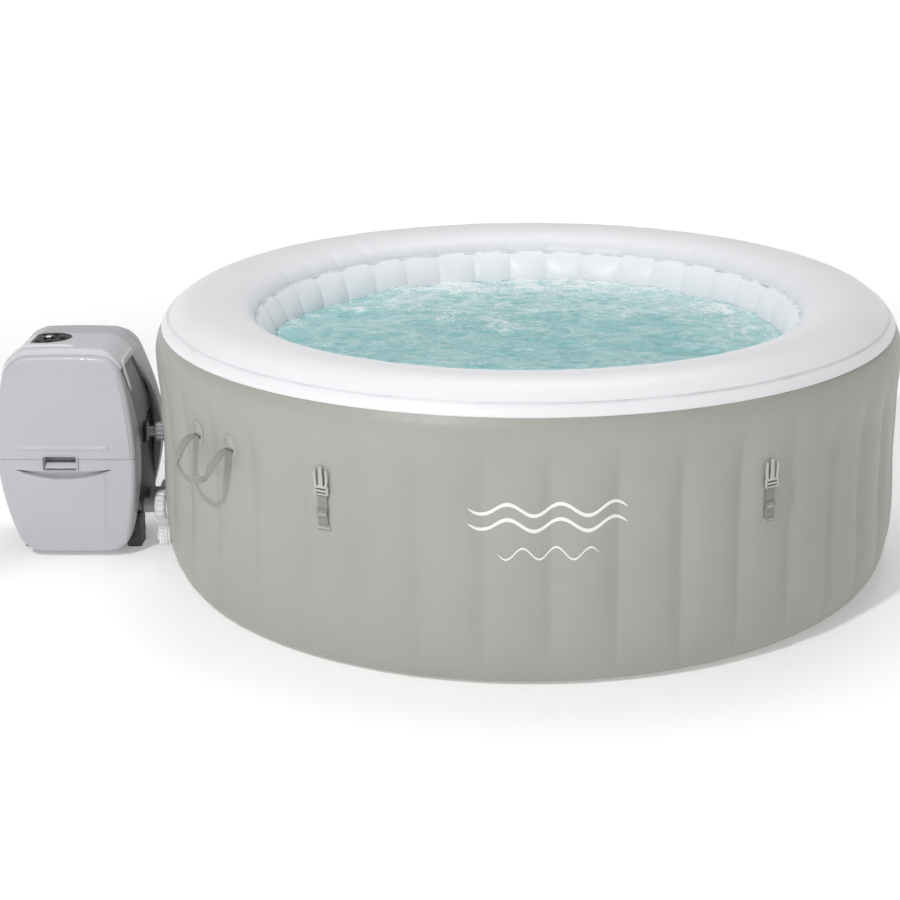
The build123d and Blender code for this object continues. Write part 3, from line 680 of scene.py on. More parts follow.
def build_water():
    """A closed slab of water: a top with foam and painted glints inside the inner wall, and a flat underside.
    """
    angles = panel_angles(LINER_PHASE)[::2]
    edge = liner_radius(angles, np.full(len(angles), WATER_TOP)) + 0.0015
    points, foam_and_glints = water_surface(np.radians(angles), edge)
    mesh = bpy.data.meshes.new("water")
    rings, columns = points.shape[:2]
    faces = grid_faces(rings, columns, wrap_columns=True).tolist()
    faces += [list(range(columns))[::-1], list(range((rings - 1) * columns, rings * columns))]
    mesh.from_pydata(points.reshape(-1, 3).tolist(), [], faces)
    froth_and_glints = mesh.attributes.new("foam_and_glints", "FLOAT", "POINT")
    froth_and_glints.data.foreach_set("value", np.clip(foam_and_glints, 0, 1).astype(np.float32))
    work = open_mesh(mesh)
    bmesh.ops.recalc_face_normals(work, faces=work.faces)
    close_mesh(work, mesh)
    water = make_object("water", mesh, water_material(), 180)
    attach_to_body(water, "tub")
    return water


PRINTED_WAVES = ((0.405, 0.165, 0.0085), (0.372, 0.165, 0.0085), (0.31, 0.105, 0.0045))
PRINT_ANGLE, WAVE_HEIGHT = 2.6, 0.0125


def build_print():
    """Plain white wave lines printed on the front of the wall."""
    lines = []
    u = np.linspace(-1, 1, 180)
    for z, half, stroke in PRINTED_WAVES:
        middle = z + WAVE_HEIGHT * np.sin(u * math.pi * 3)
        width = stroke * np.sqrt(np.clip(1 - u**8, 0.02, 1))
        degrees = PRINT_ANGLE + np.degrees(u * half / WALL_MEAN)
        rows = []
        for side in (-0.5, -0.17, 0.17, 0.5):
            height = middle + side * width
            rows.append(round_points(wall_radius(degrees, height) + 0.0007, np.radians(degrees), height))
        line = make_object("print_line", grid_mesh("print_line", np.array(rows)), PRINT_INK, 180)
        lines.append(thicken(line, 0.0006))
    attach(join("wave_print", lines), "tub", "patch")


# ---------------------------------------------------------------- handles and cover straps
HANDLE_ANGLES = (-50.25, 129.75)
HANDLE_Z, HANDLE_TURN = 0.445, 4.29
STRAP_ANGLES = (-28.5, 34.5, 97.5, 151.5, 214.5, 268.5)
STRAP_FACE, TAB_Z, BUCKLE_Z = 0.89635, 0.328, 0.4025
STRAP_HALF, STRAP_THICK = 0.0125, 0.0016


def patch_points(angle, z, wide, tall):
    """A welded oval patch laid on the wall, with raised rings round its slot."""
    rows = []
    turn = full_turn(96)
    above = smooth_step(np.sin(turn), -0.25, 0.5)
    for share in np.concatenate([[0.03], np.linspace(0.1, 0.96, 34), [1.0, 1.012]]):
        x, y = share * wide * np.cos(turn), share * tall * np.sin(turn)
        rings = sum(np.exp(-(((share - at) / 0.055) ** 2)) for at in (0.48, 0.7, 0.92))
        lift = 0.0016 + 0.0022 * rings * above + 0.0012 * math.exp(-((share / 0.33) ** 4))
        lift = lift * 0 - 0.0006 if share > 1.01 else lift
        degrees = angle + np.degrees(x / WALL_MEAN)
        rows.append(round_points(wall_radius(degrees, z + y) + lift, np.radians(degrees), z + y))
    return np.array(rows)


def handle_patch(angle):
    """One of a handle's oval patches, and a dark block at its slot that paints the shade where the webbing
    goes in.
    """
    mesh = grid_mesh("patch", patch_points(angle, HANDLE_Z + 0.006, 0.023, 0.031), wrap_columns=True)
    root = wall_frame(angle, HANDLE_Z, 0.0028)
    patch = make_object("patch", mesh, PATCH_SHEET, 60)
    # the dark slot block is painted shade under the webbing
    return [patch, block("slot", (0.0285, 0.005, 0.003), DARK, root, 0.001)]


def strap_tab(angle):
    """A cover strap's tab, and its two dark lines."""
    pieces = [block("tab", (0.031, 0.012, 0.003), PATCH_SHEET, wall_frame(angle, TAB_Z, 0.0012), 0.001)]
    for lift in (-0.003, 0.0032):
        row = wall_frame(angle, TAB_Z + lift, 0.0029)
        pieces.append(block("tab_line", (0.026, 0.001, 0.0005), DARK, row, 0.0002))
    return pieces


def build_patches():
    """Oval patches that hold the handles, and the tabs that hold the cover straps."""
    pieces = []
    for angle in HANDLE_ANGLES:
        pieces += handle_patch(angle - HANDLE_TURN) + handle_patch(angle + HANDLE_TURN)
    for angle in STRAP_ANGLES:
        pieces += strap_tab(angle)
    return attach(join("patches_and_tabs", pieces), "tub", "patch", "wall_patches")


HANDLE_SHAPE = [
    (-1.0, 0.0, 0.0), (-1.03, 0.016, 0.0), (-1.04, 0.033, 0.012), (-1.0, 0.047, 0.03),
    (-0.88, 0.056, 0.048), (-0.62, 0.06, 0.06), (-0.3, 0.061, 0.067), (0.0, 0.061, 0.069),
    (0.3, 0.061, 0.067), (0.62, 0.06, 0.06), (0.88, 0.056, 0.048), (1.0, 0.047, 0.03),
    (1.04, 0.033, 0.012), (1.03, 0.016, 0.0), (1.0, 0.0, 0.0),
]
HANDLE_SPAN, HANDLE_RADIUS = 0.067, 0.897


def handle_path(angle):
    """A webbing loop between its slots: its points, half widths, thickness directions and thickness."""
    curve = smooth_curve([(HANDLE_SPAN * s, out, -down) for s, out, down in HANDLE_SHAPE], 150)
    tangent = unit(np.gradient(curve, axis=0))
    share = np.abs(np.linspace(-1, 1, len(curve)))
    twist = smooth_step(share, 0.26, 0.56)[:, None]
    width = np.array([1.0, 0.0, 0.0]) * twist + np.array([0.0, 0.62, 0.78]) * (1 - twist)
    width -= (width * tangent).sum(1)[:, None] * tangent
    width = unit(width)
    normal = np.cross(tangent, width)
    half = 0.0085 + 0.0053 * smooth_step(share, 0.26, 0.5)
    thick = 0.0072 - 0.0046 * smooth_step(share, 0.28, 0.5)
    centre = out_of(angle) * HANDLE_RADIUS + UP * HANDLE_Z
    basis = np.array([along_wall(angle), out_of(angle), UP])
    bend = (1 - np.cos(curve[:, 0] / HANDLE_RADIUS))[:, None] * HANDLE_RADIUS * np.array(out_of(angle))
    path = np.array(centre) + curve @ basis - bend
    return path, width @ basis * half[:, None], normal @ basis, thick[:, None]


def build_handle(number, angle):
    """A carry handle: flat arms out of the slots, twisting into a folded and stitched grip."""
    path, widths, normals, thick = handle_path(angle)
    pieces = [ribbon("handle", path, widths, normals, thick, WEBBING)]
    middle = slice(52, 98)
    for side in (-0.72, 0.72):
        line = path[middle] + widths[middle] * side + normals[middle] * (thick[middle] / 2 + 0.0001)
        pieces.append(ribbon("stitch", line, widths[middle] * 0.09, normals[middle], 0.0007, THREAD))
    handle = join(f"handle_{number}_webbing", pieces)
    return attach(handle, f"handle_{number}", "webbing", f"handle_strap_{number}")


def strap_leg(name, angle, places):
    """A length of strap off the wall: places are (height, distance out of the strap's plane)."""
    points = [out_of(angle) * (STRAP_FACE + o) + UP * z for z, o in smooth_curve(places, 60)]
    tangent = unit(np.gradient(np.array(points), axis=0))
    side = np.repeat([np.array(along_wall(angle))], len(points), axis=0)
    return ribbon(name, points, side * STRAP_HALF, np.cross(tangent, side), STRAP_THICK, STRAP_WEBBING)


def build_strap(number, angle):
    """A cover strap: webbing from its tab up behind the buckle's bars, with its hem sewn below them."""
    up_leg = [(0.3353, 0.001), (0.355, 0.0011), (0.385, 0.001), (0.405, 0.001), (0.4125, 0.0012)]
    tail = [(0.3702, 0.0034), (0.366, 0.0042), (0.361, 0.0049), (0.3555, 0.0049)]
    pieces = [strap_leg("strap_leg", angle, up_leg), strap_leg("strap_tail", angle, tail)]
    for z in (0.358, 0.361):
        seat = ring_frame(angle, STRAP_FACE + 0.0056, z)
        pieces.append(block("strap_stitch", (0.021, 0.0009, 0.0007), THREAD, seat, 0.0002))
    strap = join(f"strap_{number}_webbing", pieces)
    return attach(strap, f"strap_{number}", "webbing", f"cover_strap_{number}")


BUCKLE_ARM = [
    (0.0098, 0.019), (0.015, 0.019), (0.0166, 0.027), (0.0174, 0.037), (0.0173, 0.046),
    (0.016, 0.053), (0.014, 0.057), (0.0124, 0.056), (0.012, 0.05), (0.0119, 0.04),
    (0.0112, 0.029),
]


def buckle_ladder(place):
    """The buckle's three bars and the two sides that hold them."""
    bars = [(0, 0.0017, 0.034, 0.0034), (0, 0.009, 0.034, 0.0046), (0, 0.0176, 0.034, 0.0056)]
    bars += [(s * 0.0153, 0.01, 0.0042, 0.02) for s in (-1, 1)]
    return [block("bar", (wide, tall, 0.005), BUCKLE, shifted(place, x, y, 0.0025), 0.0013)
            for x, y, wide, tall in bars]


def build_buckle(number, angle):
    """The male half of a side-release buckle."""
    place = ring_frame(angle, STRAP_FACE + 0.0022, BUCKLE_Z)
    pieces = buckle_ladder(place)
    for s in (-1, 1):
        outline = [(s * x, y) for x, y in BUCKLE_ARM][::s]
        pieces.append(plate("arm", outline, 0.0046, BUCKLE, shifted(place, 0, 0, 0.0002), 0.0009))
        ridge = shifted(place, s * 0.015, 0.044, 0.0052)
        pieces.append(block("arm_pad", (0.004, 0.014, 0.0012), BUCKLE, ridge, 0.0005))
    guide = [(-0.0056, 0.019), (0.0056, 0.019), (0.003, 0.057), (-0.003, 0.057)]
    pieces.append(plate("guide", guide, 0.005, BUCKLE, place, 0.001))
    knob = [(0.0001, 0), (0.0034, 0), (0.0042, 0.001), (0.0042, 0.0046), (0.0032, 0.0058), (0.0001, 0.006)]
    pieces.append(lathe("knob", knob, BUCKLE, shifted(place, 0, 0.0585, -0.0002), sides=32))
    rib = shifted(place, 0, 0.033, 0.0052)
    pieces.append(block("guide_rib", (0.0022, 0.024, 0.0014), BUCKLE, rib, 0.0005))
    buckle = join(f"clip_{number}_buckle", pieces)
    return attach(buckle, f"clip_{number}", "buckle_plastic", f"buckle_{number}")


# ---------------------------------------------------------------- nuts and caps
PORT_Y, PORT_Z, AIR_Z = 0.041, 0.11, 0.29
NUT_START = 0.904
NUTS = (
    ("inlet_nut", -PORT_Y, PORT_Z, 0.038, 0.0256, 0.0196, 14, FITTING),
    ("outlet_nut", PORT_Y, PORT_Z, 0.038, 0.0256, 0.0196, 14, FITTING),
    ("air_nut", 0, AIR_Z, 0.0235, 0.0176, 0.0136, 10, PIPE),
)
CAPS = (
    ("drain_cap", -74, 0.108, 0.90215, 0.024, 0.019, 12),
    ("air_valve_cap", -135, 0.415, 0.90015, 0.025, 0.012, 20),
)


def build_nut(name, y, z, outer, bore, pipe, lobes, material):
    """A ribbed coupling nut with a stepped bore."""
    place = axis_frame((-NUT_START, y, z), (-1, 0, 0))
    profile = [
        (bore, 0.0), (outer - 0.006, 0.0), (outer - 0.0025, 0.0012), (outer, 0.0042), (outer, 0.012),
        (outer, 0.0205), (outer - 0.0015, 0.0245), (outer - 0.0065, 0.0268), (outer - 0.0095, 0.028),
        (pipe, 0.028), (pipe, 0.0236), (bore, 0.0236), (bore, 0.0),
    ]
    nut = lathe(name + "_ribbed", profile, material, place, lobes, 0.0038, (2, 3, 4, 5, 6), lobes * 12)
    return attach(nut, name, "white_fitting", name)


def build_cap(name, angle, z, start, radius, depth, ribs):
    """A ribbed screw cap with rings round it and a finger bar."""
    place = ring_frame(angle, start, z)
    bore = radius - 0.0045
    skirt = [
        (bore, 0.0), (radius - 0.0015, 0.0), (radius, 0.0012), (radius, 0.0034), (radius - 0.0028, 0.0046),
        (radius - 0.003, 0.006), (radius - 0.0004, 0.0072), (radius - 0.0002, depth - 0.003),
        (radius - 0.0022, depth - 0.0004), (radius - 0.005, depth), (0.0005, depth + 0.0004),
        (0.0004, depth - 0.003), (bore, depth - 0.0032), (bore, 0.0),
    ]
    pieces = [lathe(name, skirt, FITTING, place, ribs, 0.0022, (6, 7, 8), ribs * 10)]
    bar = shifted(place, 0, 0, depth + 0.0018)
    pieces.append(block("finger_bar", (radius * 1.5, 0.0065, 0.0046), FITTING, bar, 0.0018))
    return attach(join(name + "_ribbed", pieces), name, "white_fitting", name)


# ---------------------------------------------------------------- the pump unit
PUMP_X, PUMP_LOW, PUMP_MID, PUMP_HIGH = -1.12, 0.015, 0.275, 0.528
HALF_LOW, HALF_MID, HALF_HIGH = 0.122, 0.168, 0.127
CORNER, EDGE, BOW, CROWN = 0.046, 0.013, 1.1, 0.005
COVER_COLUMNS, COVER_THICK = 101, 0.0032
FRONT_FACE, REAR_BACK = 0.155, 0.1
SPLIT_Z = 0.266
FRONT_DROP, REAR_SWELL = 0.014, 0.016


def side_arc(z):
    """Half width of the barrel outline before its corners are rounded."""
    x1, x2, x3 = HALF_LOW, HALF_MID, HALF_HIGH
    y1, y2, y3 = PUMP_LOW, PUMP_MID, PUMP_HIGH
    d = 2 * (x1 * (y2 - y3) + x2 * (y3 - y1) + x3 * (y1 - y2))
    a, b, c = x1 * x1 + y1 * y1, x2 * x2 + y2 * y2, x3 * x3 + y3 * y3
    cx = (a * (y2 - y3) + b * (y3 - y1) + c * (y1 - y2)) / d
    cy = (a * (x3 - x2) + b * (x1 - x3) + c * (x2 - x1)) / d
    return cx + np.sqrt((x1 - cx) ** 2 + (y1 - cy) ** 2 - (np.asarray(z) - cy) ** 2)


def half_width(z, inset=0.0):
    """Half width of the rounded outline, drawn smaller by inset."""
    z = np.asarray(z, float)
    radius = CORNER - inset
    high, low = PUMP_HIGH - inset - radius, PUMP_LOW + inset + radius
    past = np.clip(np.maximum(z - high, low - z), 0, radius)
    return side_arc(z) - inset - radius + np.sqrt(np.maximum(radius**2 - past**2, 0))


def front_bow(z):
    """How far a cover's face stands out at a height."""
    return FRONT_FACE - BOW + np.sqrt(BOW**2 - (np.asarray(z) - PUMP_MID) ** 2)


def crown(x):
    """The roof's slight rise towards its middle."""
    return CROWN * (1 - np.clip(np.abs(x) / HALF_HIGH, 0, 1) ** 2)


def roof_height(x):
    """Height of the roof's outline at a distance from the pump's middle."""
    past = np.clip(np.abs(x) - (HALF_HIGH - CORNER), 0, CORNER)
    fall = CORNER - np.sqrt(CORNER**2 - past**2)
    return PUMP_HIGH + crown(x) - fall


def seam_y(z):
    """How far forward the middle body reaches before it meets the front covers."""
    return 0.08 + 0.034 * smooth_step(z, 0.25, 0.5)


def roof_rise(x, z):
    """The roof's crown, fading down the sides."""
    return crown(x) * smooth_step(z, PUMP_HIGH - 0.09, PUMP_HIGH)


FEATURE_X = -0.007
RIDGE_Z, RIDGE_TALL = 0.2955, 0.0042
SCOOP_Z, SCOOP_HALF, SCOOP_TALL, SCOOP_DEEP = 0.2405, 0.115, 0.0185, 0.0135
FRONT_PANEL_HALF, FRONT_PANEL_RISE = 0.104, 0.0022
LOUVRE_STEP, LOUVRE_DEEP, LOUVRE_HALF = 0.011, 0.005, 0.085


def front_feature(u, z):
    """Relief on the front covers: a bright ridge, a crescent scoop and a raised lower panel."""
    v = u - FEATURE_X
    reach = np.clip(1 - (v / SCOOP_HALF) ** 2, 0, 1)
    ridge = RIDGE_TALL * np.exp(-(((z - RIDGE_Z) / RIDGE_TALL) ** 2)) * smooth_step(reach, 0.0, 0.12)
    upper = SCOOP_Z - 0.0045 * reach
    lower = upper - SCOOP_TALL * reach - 0.0004
    down = np.clip((z - lower) / (upper - lower), 0, 1)
    scoop = -SCOOP_DEEP * (1 - down) ** 0.9 * (z < upper + 0.0004) * (z > lower) * (reach > 0)
    wide = FRONT_PANEL_HALF - 0.012 * np.clip((0.224 - z) / 0.154, 0, 1)
    panel = smooth_step(wide - np.abs(v), 0, 0.008) * smooth_step(z, 0.07, 0.08) * (z < 0.24)
    brow = 0.0012 * smooth_step(z, 0.462, 0.478)
    step = 0.0018 * smooth_step(z, 0.266, 0.274)
    return ridge + scoop + FRONT_PANEL_RISE * panel * (1 - down) - brow + step


def rear_feature(u, z):
    """Relief on the rear cover: a block of cooling louvres."""
    field = smooth_step(LOUVRE_HALF - np.abs(u), 0, 0.006) * smooth_step(z, 0.1, 0.106)
    field = field * (1 - smooth_step(z, 0.215, 0.221))
    teeth = np.mod(z, LOUVRE_STEP) / LOUVRE_STEP
    return -LOUVRE_DEEP * field * (1 - teeth)


def cover_face(feature, rows):
    """A cover's bowed face, as a grid of points with its relief."""
    across = np.sin(np.linspace(-1, 1, COVER_COLUMNS) * math.pi / 2 * 0.94) / math.sin(math.pi / 2 * 0.94)
    x = across[None] * half_width(rows, EDGE)[:, None]
    top = smooth_step(rows, PUMP_HIGH - 0.1, rows[-1])[:, None]
    z = rows[:, None] + CROWN * (1 - (x / HALF_HIGH) ** 2) * top
    y = -(front_bow(z) + feature(x, z))
    return np.stack([x + PUMP_X, y, z], axis=2)


def face_edge(rows, columns):
    """The indices round the edge of a grid."""
    edge = [(0, j) for j in range(columns)] + [(i, columns - 1) for i in range(1, rows)]
    edge += [(rows - 1, j) for j in range(columns - 2, -1, -1)]
    return edge + [(i, 0) for i in range(rows - 2, 0, -1)]


def cover_rings(loop, back):
    """Rings of points behind a cover's face: its rounded edge, its side and its flange."""
    tangent = np.roll(loop, -2, axis=0) - np.roll(loop, 2, axis=0)
    outside = unit(np.stack([tangent[:, 2], 0 * tangent[:, 0], -tangent[:, 0]], axis=1))
    rings = []
    for turn in np.radians(np.linspace(10, 90, 9)):
        ring = loop + outside * EDGE * math.sin(turn)
        ring[:, 1] = -front_bow(loop[:, 2]) + EDGE * (1 - math.cos(turn))
        rings.append(ring)
    side = rings[-1]
    rear = back(side[:, 2])
    for share in (0.25, 0.5, 0.75, 0.96):
        ring = side.copy()
        ring[:, 1] = side[:, 1] + (-rear - side[:, 1]) * share
        rings.append(ring)
    for inset in (0.0008, 0.016):
        ring = side - outside * inset
        ring[:, 1] = -rear
        rings.append(ring)
    return rings


def cover_mesh(name, back, feature, rows, drop=0.0, widen=0.0):
    """A bowed cover facing -Y: its face with the rings of points that turn back from its edge."""
    face = cover_face(feature, rows)
    edge = face_edge(*face.shape[:2])
    rings = cover_rings(np.array([face[i, j] for i, j in edge]), back)
    faces = grid_faces(*face.shape[:2]).tolist()
    before = [i * COVER_COLUMNS + j for i, j in edge]
    n = len(edge)
    for k in range(len(rings)):
        after = [face.shape[0] * COVER_COLUMNS + k * n + m for m in range(n)]
        faces += [[before[m], before[(m + 1) % n], after[(m + 1) % n], after[m]] for m in range(n)]
        before = after
    points = np.vstack([face.reshape(-1, 3), np.concatenate(rings)])
    points[:, 2] -= drop * smooth_step(points[:, 2], PUMP_HIGH - 0.11, PUMP_HIGH)
    z = points[:, 2]
    middle = smooth_step(z, PUMP_LOW, PUMP_MID) * (1 - smooth_step(z, PUMP_MID, PUMP_HIGH))
    points[:, 0] += widen * middle * (points[:, 0] - PUMP_X) / HALF_MID
    mesh = bpy.data.meshes.new(name)
    mesh.from_pydata(points.tolist(), [], faces)
    outward(mesh)
    return mesh


def cut_below(mesh, z, keep_above):
    """Keeps the part of a mesh on one side of a level plane."""
    work = open_mesh(mesh)
    geometry = work.verts[:] + work.edges[:] + work.faces[:]
    clear = {"clear_inner": keep_above, "clear_outer": not keep_above}
    bmesh.ops.bisect_plane(work, geom=geometry, plane_co=(0, 0, z), plane_no=(0, 0, 1), **clear)
    return close_mesh(work, mesh)


GRIP_X, GRIP_Z, GRIP_W, GRIP_H = -0.015, 0.257, 0.09, 0.04


def rounded_loop(wide, tall, radius):
    """Points round a rounded rectangle, centred on the origin."""
    points = []
    for cx, cy, start in ((1, 1, 0), (-1, 1, 90), (-1, -1, 180), (1, -1, 270)):
        for k in range(9):
            turn = math.radians(start + 90 * k / 8)
            x = cx * (wide / 2 - radius) + radius * math.cos(turn)
            points.append((x, cy * (tall / 2 - radius) + radius * math.sin(turn)))
    return points


def open_grip(mesh):
    """Opens a front cover's face behind the grip's frame."""
    work = open_mesh(mesh)
    hole = []
    for face in work.faces:
        spot = face.calc_center_median()
        beside = abs(spot.x - PUMP_X - GRIP_X) < GRIP_W / 2 - 0.0022
        level = abs(spot.z - GRIP_Z) < GRIP_H / 2 - 0.0022
        if beside and level and spot.y < -0.12:
            hole.append(face)
    bmesh.ops.delete(work, geom=hole, context="FACES")
    close_mesh(work, mesh)


def levels(*bands, last):
    """Heights up a cover: bands are (upper end, number of rows), then the last rows to its top edge."""
    rows, low = [], PUMP_LOW + EDGE
    for high, count in bands:
        rows.append(np.linspace(low, high, count, endpoint=False))
        low = high
    return np.concatenate([*rows, np.linspace(low, PUMP_HIGH - EDGE, last)])


def build_front_covers():
    """The upper and lower front covers, with a fine gap between them."""
    fine = levels((0.066, 12), (0.084, 10), (0.206, 26), (0.31, 105), (0.47, 34), (0.49, 12), last=10)
    halves = (("front_cover_upper", SPLIT_Z + 0.0005, True), ("front_cover_lower", SPLIT_Z - 0.0005, False))
    for name, z, above in halves:
        mesh = cut_below(cover_mesh(name + "_shell", seam_y, front_feature, fine, FRONT_DROP), z, above)
        open_grip(mesh)
        attach(thicken(make_object(name + "_shell", mesh, SHELL, 32), COVER_THICK), "tub", "shell_grey", name)


def frame_ring(name, loop, section, material, place):
    """A closed frame: a section of (inward offset, height) swept round a loop."""
    base = np.array(loop)
    length = np.linalg.norm(base, axis=1)[:, None]
    rows = []
    for inward, height in section:
        ring = base * (1 - inward / np.maximum(length, 1e-6))
        rows.append(np.column_stack([ring, np.full(len(ring), height)]))
    mesh = grid_mesh(name, np.array(rows), wrap_rows=True, wrap_columns=True)
    mesh.transform(place)
    return make_object(name, mesh, material, 40)


def build_grip():
    """The lifting grip: a raised frame, a pocket whose back is drawn in darker grey as painted shade, and a
    sloping lower lip in lighter grey as painted light.
    """
    face = float(front_bow(GRIP_Z))
    place = axis_frame((PUMP_X + GRIP_X, -face, GRIP_Z), (0, -1, 0))
    section = [(0, -0.03), (0, 0.003), (0.0012, 0.0044)]
    section += [(0.004, 0.0044), (0.0052, 0.003), (0.006, -0.03)]
    pieces = [frame_ring("grip_frame", rounded_loop(GRIP_W, GRIP_H, 0.007), section, SHELL, place)]
    back = shifted(place, 0, 0, -0.029)
    # the back in darker grey is painted shade in the pocket
    pieces.append(block("grip_back", (GRIP_W - 0.004, GRIP_H - 0.004, 0.003), SIDE, back, 0.0008))
    lip = shifted(place, 0, -0.0085, -0.012) @ Matrix.Rotation(math.radians(-58), 4, "X")
    # the lip in lighter grey is painted light on its upturned face
    pieces.append(block("grip_lip", (GRIP_W - 0.0125, 0.02, 0.004), DECK, lip, 0.0014))
    return attach(join("grip", pieces), "tub", "shell_grey", "grip_recess")


def rear_seam(z):
    """Where the rear cover meets the middle body: the same at every height."""
    return REAR_BACK + 0 * z


def build_rear_cover():
    """The rear cover, guessed: like the front one but plain, with cooling louvres."""
    rows = levels((0.098, 14), (0.224, 92), last=50)
    mesh = cover_mesh("rear_cover_shell", rear_seam, rear_feature, rows, widen=REAR_SWELL)
    mesh.transform(Matrix.Diagonal((1, -1, 1, 1)))
    mesh.flip_normals()
    cover = thicken(make_object("rear_cover_shell", mesh, SHELL, 32), COVER_THICK)
    return attach(cover, "tub", "shell_grey", "rear_cover")


def outline_arc(low, inset):
    """Points over the pump from one side's low edge across the roof to the other's, in x and z."""
    rise = np.linspace(low, PUMP_HIGH - CORNER, 70)
    turn = np.linspace(0, math.pi / 2, 40)[1:]
    corner_z = PUMP_HIGH - CORNER + (CORNER - inset) * np.sin(turn)
    right = [(half_width(z, inset), z) for z in rise] + [(half_width(z, inset), z) for z in corner_z]
    end = right[-1][0]
    across = [(x, PUMP_HIGH - inset) for x in np.linspace(end, 0, 40)[1:]]
    half = np.array([(float(x), float(z + roof_rise(x, z))) for x, z in right + across])
    both = np.vstack([half, (half * (-1, 1))[::-1][1:]])
    step = run_length(both)
    even = np.linspace(0, step[-1], 220)
    return np.column_stack([np.interp(even, step, both[:, 0]), np.interp(even, step, both[:, 1])])


def shell_piece(name, rows, material, thickness=0.003):
    """A thin shell over rows of points."""
    return thicken(make_object(name, grid_mesh(name, np.array(rows)), material, 40), thickness)


BAND_HALF, BAND_BACK = 0.16, 0.0995


def band_front(z):
    """How far forward the raised band reaches at a height: well forward on the roof, back on the sides."""
    return 0.012 + 0.084 * (1 - smooth_step(z, 0.335, 0.52))


def band_row(arc, outset, share, front):
    """One row of the raised band, share of the way from its front edge to the rear cover."""
    low_y = band_front(arc[:, 1]) + front
    y = low_y + (BAND_BACK - low_y) * share
    grown = arc.copy()
    middle = 1 - smooth_step(arc[:, 1], PUMP_MID, PUMP_HIGH)
    grown[:, 0] *= 1 + outset / BAND_HALF + REAR_SWELL / HALF_MID * middle * smooth_step(y, 0.02, 0.085)
    grown[:, 1] += outset * smooth_step(arc[:, 1], 0.47, 0.52)
    return np.column_stack([grown[:, 0] + PUMP_X, y, grown[:, 1]])


def build_roof():
    """The roof: a flat deck for the control panel, and a raised band that runs down both sides."""
    x, z = outline_arc(0.503, 0.0012).T
    places = [(-0.112, 0.034, 0.9), (-0.1135, 0.006, 0.975), (-0.112, 0.0018, 0.993)]
    places += [(y, 0, 1) for y in np.linspace(-0.108, 0.03, 32)]
    rows = [np.column_stack([x * shrink + PUMP_X, y + 0 * x, z - low]) for y, low, shrink in places]
    pieces = [shell_piece("deck", rows, DECK)]
    inner, outer = outline_arc(0.3, 0.0085), outline_arc(0.3, 0.0)
    rows = [band_row(inner, 0, 0, -0.0035), band_row(outer, -0.0005, 0, -0.002)]
    rows += [band_row(outer, 0.0001, 0, -0.0004), band_row(outer, 0.0003, 0, 0.0018)]
    rows += [band_row(outer, 0.0003, share, 0.0018) for share in np.linspace(0.1, 1, 12)]
    pieces.append(shell_piece("band", rows, SHELL))
    return attach(join("roof", pieces), "tub", "shell_grey", "roof_cap")


def sweep(name, path, radius, material, flat=1.0):
    """A round-sectioned bar along points."""
    points = smooth_curve(path, 40)
    tangent = unit(np.gradient(points, axis=0))
    side = unit(np.cross(tangent, (0.15, 0.2, 1.0)))
    over = np.cross(side, tangent)
    taper = np.sqrt(np.clip(1 - np.linspace(-1, 1, 40) ** 12, 0.03, 1))[:, None]
    round_way = [math.cos(a) * side + flat * math.sin(a) * over for a in full_turn(16)]
    rings = [points + taper * radius * way for way in round_way]
    mesh = grid_mesh(name, np.stack(rings, axis=1), wrap_columns=True, caps=True)
    return make_object(name, mesh, material, 50)


def side_point(sign, y, z, inset):
    return (PUMP_X + sign * float(half_width(z, inset)), y, z)


def side_sheet(sign, lows, high, material, inset):
    """One side panel, from a list of low heights (front to back) up to one high height."""
    rows = []
    for share, low in zip(np.linspace(0, 1, len(lows)), lows):
        levels = np.linspace(low + 0.0004, high - 0.0004, 40)
        front = -seam_y(levels) + 0.0006
        back = front + (0.099 - front) * share
        rows.append([side_point(sign, y, z, inset) for y, z in zip(back, levels)])
    return shell_piece("side_panel", rows, material, 0.0028)


CORNER_RIM = (
    (0.03, 0.4955), (-0.04, 0.495), (-0.08, 0.494), (-0.0935, 0.489), (-0.0975, 0.477),
    (-0.0965, 0.45), (-0.094, 0.42),
)
SIDE_OPENINGS = ((0.004, 0.3, 0.036, 0.062), (0.052, 0.15, 0.012, 0.07))
SIDE_INSET = 0.008
AIR_COLLAR = (
    (0.0142, 0.0), (0.027, 0.0), (0.027, 0.03), (0.0245, 0.034), (0.016, 0.034), (0.0142, 0.031),
)


def side_details(sign):
    """One side's corner rim, its lighter grey a painted highlight, its screw, and black plates that paint the
    shade in its openings.
    """
    rim = [side_point(sign, y, z, -0.001) for y, z in CORNER_RIM]
    # the rim is raised, and its lighter grey is a painted highlight along the recess edge
    pieces = [sweep("corner_rim", rim, 0.0056, DECK, 0.8)]
    screw = axis_frame(side_point(sign, -0.03, 0.3, SIDE_INSET), (sign, 0, 0))
    head = [(0.0001, 0.0), (0.004, 0.0), (0.004, 0.0008), (0.0026, 0.0018), (0.0001, 0.0019)]
    pieces.append(lathe("side_screw", head, STEEL, screw, sides=24))
    for y, z, wide, tall in SIDE_OPENINGS:
        spot = axis_frame(side_point(sign, y, z, SIDE_INSET), (sign, 0, 0))
        loop = rounded_loop(wide, tall, wide / 2 - 0.0002)
        if sign > 0 or z < 0.2:
            # the openings are black plates: painted shade inside them
            pieces.append(plate("side_opening", loop, 0.0012, BLACK, spot, 0.0003))
    return pieces


